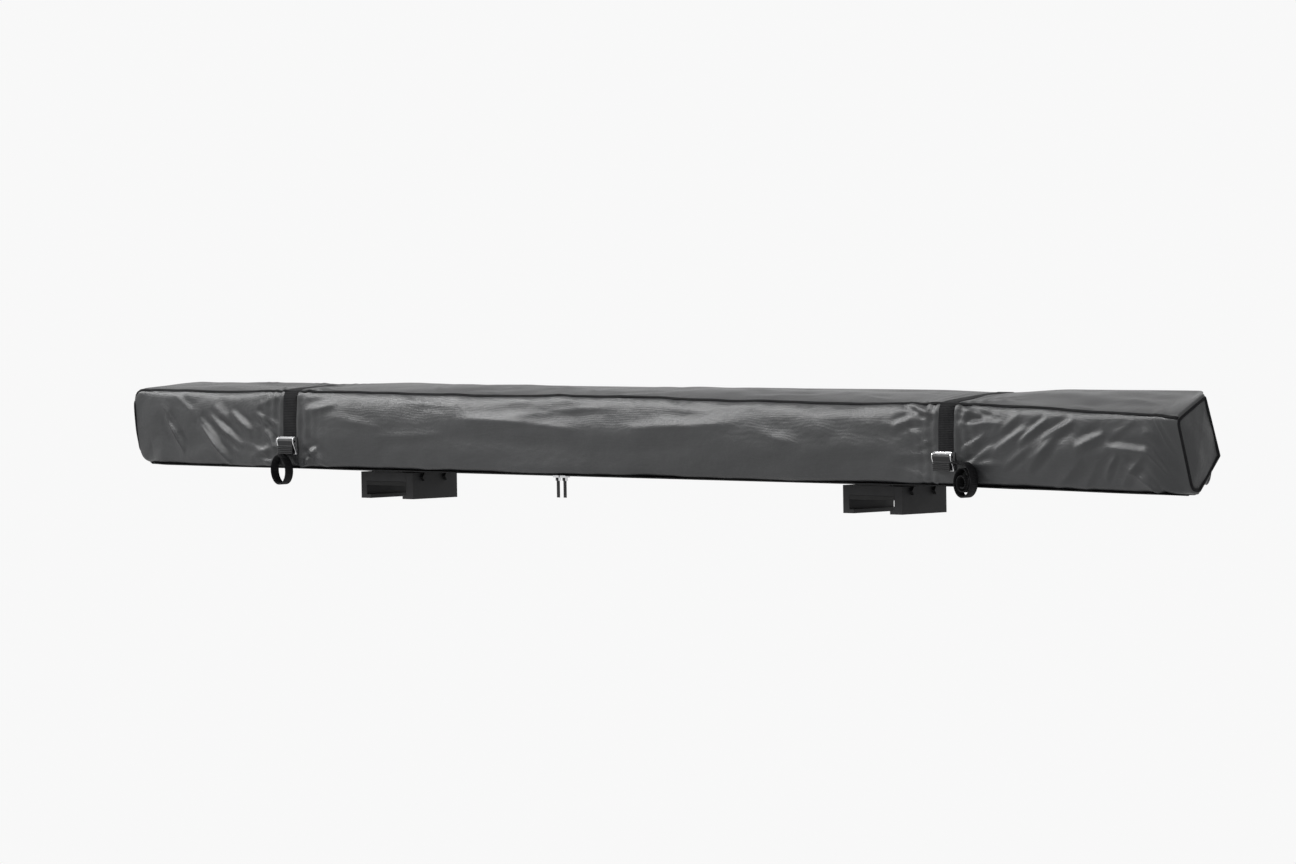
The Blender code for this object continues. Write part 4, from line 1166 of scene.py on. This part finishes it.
def tape_place(x, share, side):
    """A place across a tape at x, from the teeth at share 0 to its far edge, as (y, z)."""
    reach = TAPE_WIDTH * share * min(1.0, (TAPE_HALF - abs(x)) / TAPE_TAPER + TAPE_END_SHARE)
    if side < 0:
        y, z = zip_line(x)
        return y - TAPE_CLEAR - TAPE_LEAN * reach, z
    (y0, z0), (y1, z1) = floor_place(x, 0.0), floor_place(x, 1.0)
    run = math.hypot(y1 - y0, z1 - z0)
    return y0 + (y1 - y0) * reach / run, z0 + (z1 - z0) * reach / run


def zip_line(x):
    """Where the zip runs under the cover at x, as (y, z)."""
    (_, _, _, front_low), _ = station(x)
    return ZIP_Y + (front_low[0] - FACE_Y), min(FLOOR_Z, front_low[1] - LIP_SINK) + corner_drop(x)


def tooth_row(side):
    """Every other tooth of the zip, as points and faces."""
    half = TOOTH_PITCH * TOOTH_SHARE
    corners = ((-half, -TOOTH_REACH), (half, -TOOTH_REACH), (half, TOOTH_REACH), (-half, TOOTH_REACH))
    points = []
    faces = []
    for k in range(int(2 * TEETH_HALF / TOOTH_PITCH)):
        if k % 2 == (side + 1) // 2:
            continue
        x = -TEETH_HALF + k * TOOTH_PITCH
        y, z = zip_line(x)
        faces += [tuple(len(points) + i for i in face) for face in BOX_FACES]
        for level in TOOTH_LEVELS:
            points += [(x + dx, y + dy, z + level) for dx, dy in corners]
    return points, faces


def unease(share):
    """The t at which the smooth step reaches share."""
    return 0.5 - math.sin(math.asin(1 - 2 * share) / 3)


def finish_frame():
    """Gives every node of the frame its slot's finish, and soft edges to the hard ones."""
    slots = {s["node"]: s["material_slot"] for s in frame["record"]["subparts"]}
    for name, thing in frame["nodes"].items():
        look = slots[name]
        thing.data.materials.clear()
        thing.data.materials.append(LOOKS[look])
        if look in EDGE_WIDTHS and not name.startswith(SHARP_NODES):
            soften(thing, CLAMP_EDGE if name.startswith("clamp_") else EDGE_WIDTHS[look], 3, 40)


def new_lamp(name, place, size, power, target):
    lamp = bpy.data.lights.new(name, "AREA")
    lamp.shape = "RECTANGLE"
    lamp.size, lamp.size_y = size
    lamp.energy = power
    thing = bpy.data.objects.new(name, lamp)
    bpy.context.collection.objects.link(thing)
    thing.location = place
    thing.rotation_euler = (target - place).to_track_quat("-Z", "Y").to_euler()


def seen_only(tree):
    """1 for what the camera sees, straight, in gloss or through glass, and 0 for the light it gives."""
    ray = tree.nodes.new("ShaderNodeLightPath")
    first = add_node(tree, "ShaderNodeMath", operation="MAXIMUM")
    tree.links.new(ray.outputs["Is Camera Ray"], first.inputs[0])
    tree.links.new(ray.outputs["Is Glossy Ray"], first.inputs[1])
    both = add_node(tree, "ShaderNodeMath", operation="MAXIMUM")
    tree.links.new(first.outputs[0], both.inputs[0])
    tree.links.new(ray.outputs["Is Transmission Ray"], both.inputs[1])
    return both.outputs[0]


def build_floor(middle):
    level = middle.z - FLOOR_BELOW
    ground = bpy.data.meshes.new("floor")
    corners = [(x * FLOOR_REACH, y * FLOOR_REACH, level) for x, y in ((-1, -1), (1, -1), (1, 1), (-1, 1))]
    ground.from_pydata(corners, [], [(0, 1, 2, 3)])
    floor = bpy.data.objects.new("floor", ground)
    bpy.context.collection.objects.link(floor)
    look, tree, shader = new_material("floor_paint", FLOOR_COLOUR, FLOOR_ROUGHNESS)
    glow = add_node(tree, "ShaderNodeEmission", Strength=1.0)
    glow.inputs["Color"].default_value = (*BACKDROP, 1.0)
    mix = tree.nodes.new("ShaderNodeMixShader")
    place = tree.nodes.new("ShaderNodeNewGeometry")
    distance = add_node(tree, "ShaderNodeVectorMath", operation="DISTANCE")
    distance.inputs[1].default_value = (middle.x, middle.y, level)
    tree.links.new(place.outputs["Position"], distance.inputs[0])
    fade = add_node(tree, "ShaderNodeMapRange", interpolation_type="SMOOTHSTEP")
    fade.inputs["From Min"].default_value, fade.inputs["From Max"].default_value = FLOOR_FADE
    fade.inputs["To Min"].default_value = FLOOR_GLOW
    tree.links.new(distance.outputs["Value"], fade.inputs["Value"])
    share = add_node(tree, "ShaderNodeMath", operation="MULTIPLY")
    tree.links.new(seen_only(tree), share.inputs[0])
    tree.links.new(fade.outputs["Result"], share.inputs[1])
    tree.links.new(share.outputs[0], mix.inputs["Fac"])
    tree.links.new(shader.outputs["BSDF"], mix.inputs[1])
    tree.links.new(glow.outputs["Emission"], mix.inputs[2])
    tree.links.new(mix.outputs["Shader"], tree.nodes["Material Output"].inputs["Surface"])
    ground.materials.append(look)


def build_world():
    world = bpy.data.worlds.new("studio")
    bpy.context.scene.world = world
    world.use_nodes = True
    tree = world.node_tree
    light = tree.nodes["Background"]
    light.inputs["Color"].default_value = (1.0, 1.0, 1.0, 1.0)
    light.inputs["Strength"].default_value = AMBIENT
    shown = tree.nodes.new("ShaderNodeBackground")
    shown.inputs["Color"].default_value = (*BACKDROP, 1.0)
    mix = tree.nodes.new("ShaderNodeMixShader")
    tree.links.new(seen_only(tree), mix.inputs["Fac"])
    tree.links.new(light.outputs["Background"], mix.inputs[1])
    tree.links.new(shown.outputs["Background"], mix.inputs[2])
    tree.links.new(mix.outputs["Shader"], tree.nodes["World Output"].inputs["Surface"])


def build_camera(middle):
    flat = math.cos(CAMERA_ELEVATION)
    sideways = math.sin(CAMERA_AZIMUTH) * flat
    towards = Vector((sideways, -math.cos(CAMERA_AZIMUTH) * flat, math.sin(CAMERA_ELEVATION)))
    camera = bpy.data.objects.new("camera", bpy.data.cameras.new("camera"))
    bpy.context.collection.objects.link(camera)
    camera.location = middle + towards * CAMERA_DISTANCE
    turn = (-towards).to_track_quat("-Z", "Y").to_matrix() @ Matrix.Rotation(CAMERA_ROLL, 3, "Z")
    camera.rotation_euler = turn.to_euler()
    camera.data.angle = CAMERA_FIELD
    camera.data.clip_end = CLIP_END
    bpy.context.scene.camera = camera


def build_stage():
    middle = at(0, STAGE_MIDDLE_Y, 0)
    build_floor(middle)
    build_world()
    build_camera(middle)
    for name, place, size, power in LAMPS:
        new_lamp(name, middle + Vector(place), size, power, middle)
    bpy.context.scene.view_settings.view_transform = "Standard"


build_stage()
finish_frame()
columns_x, cover_surface = build_cover()
build_tray()
build_straps(columns_x, cover_surface)
build_canopy()
build_zip()
build_welts()
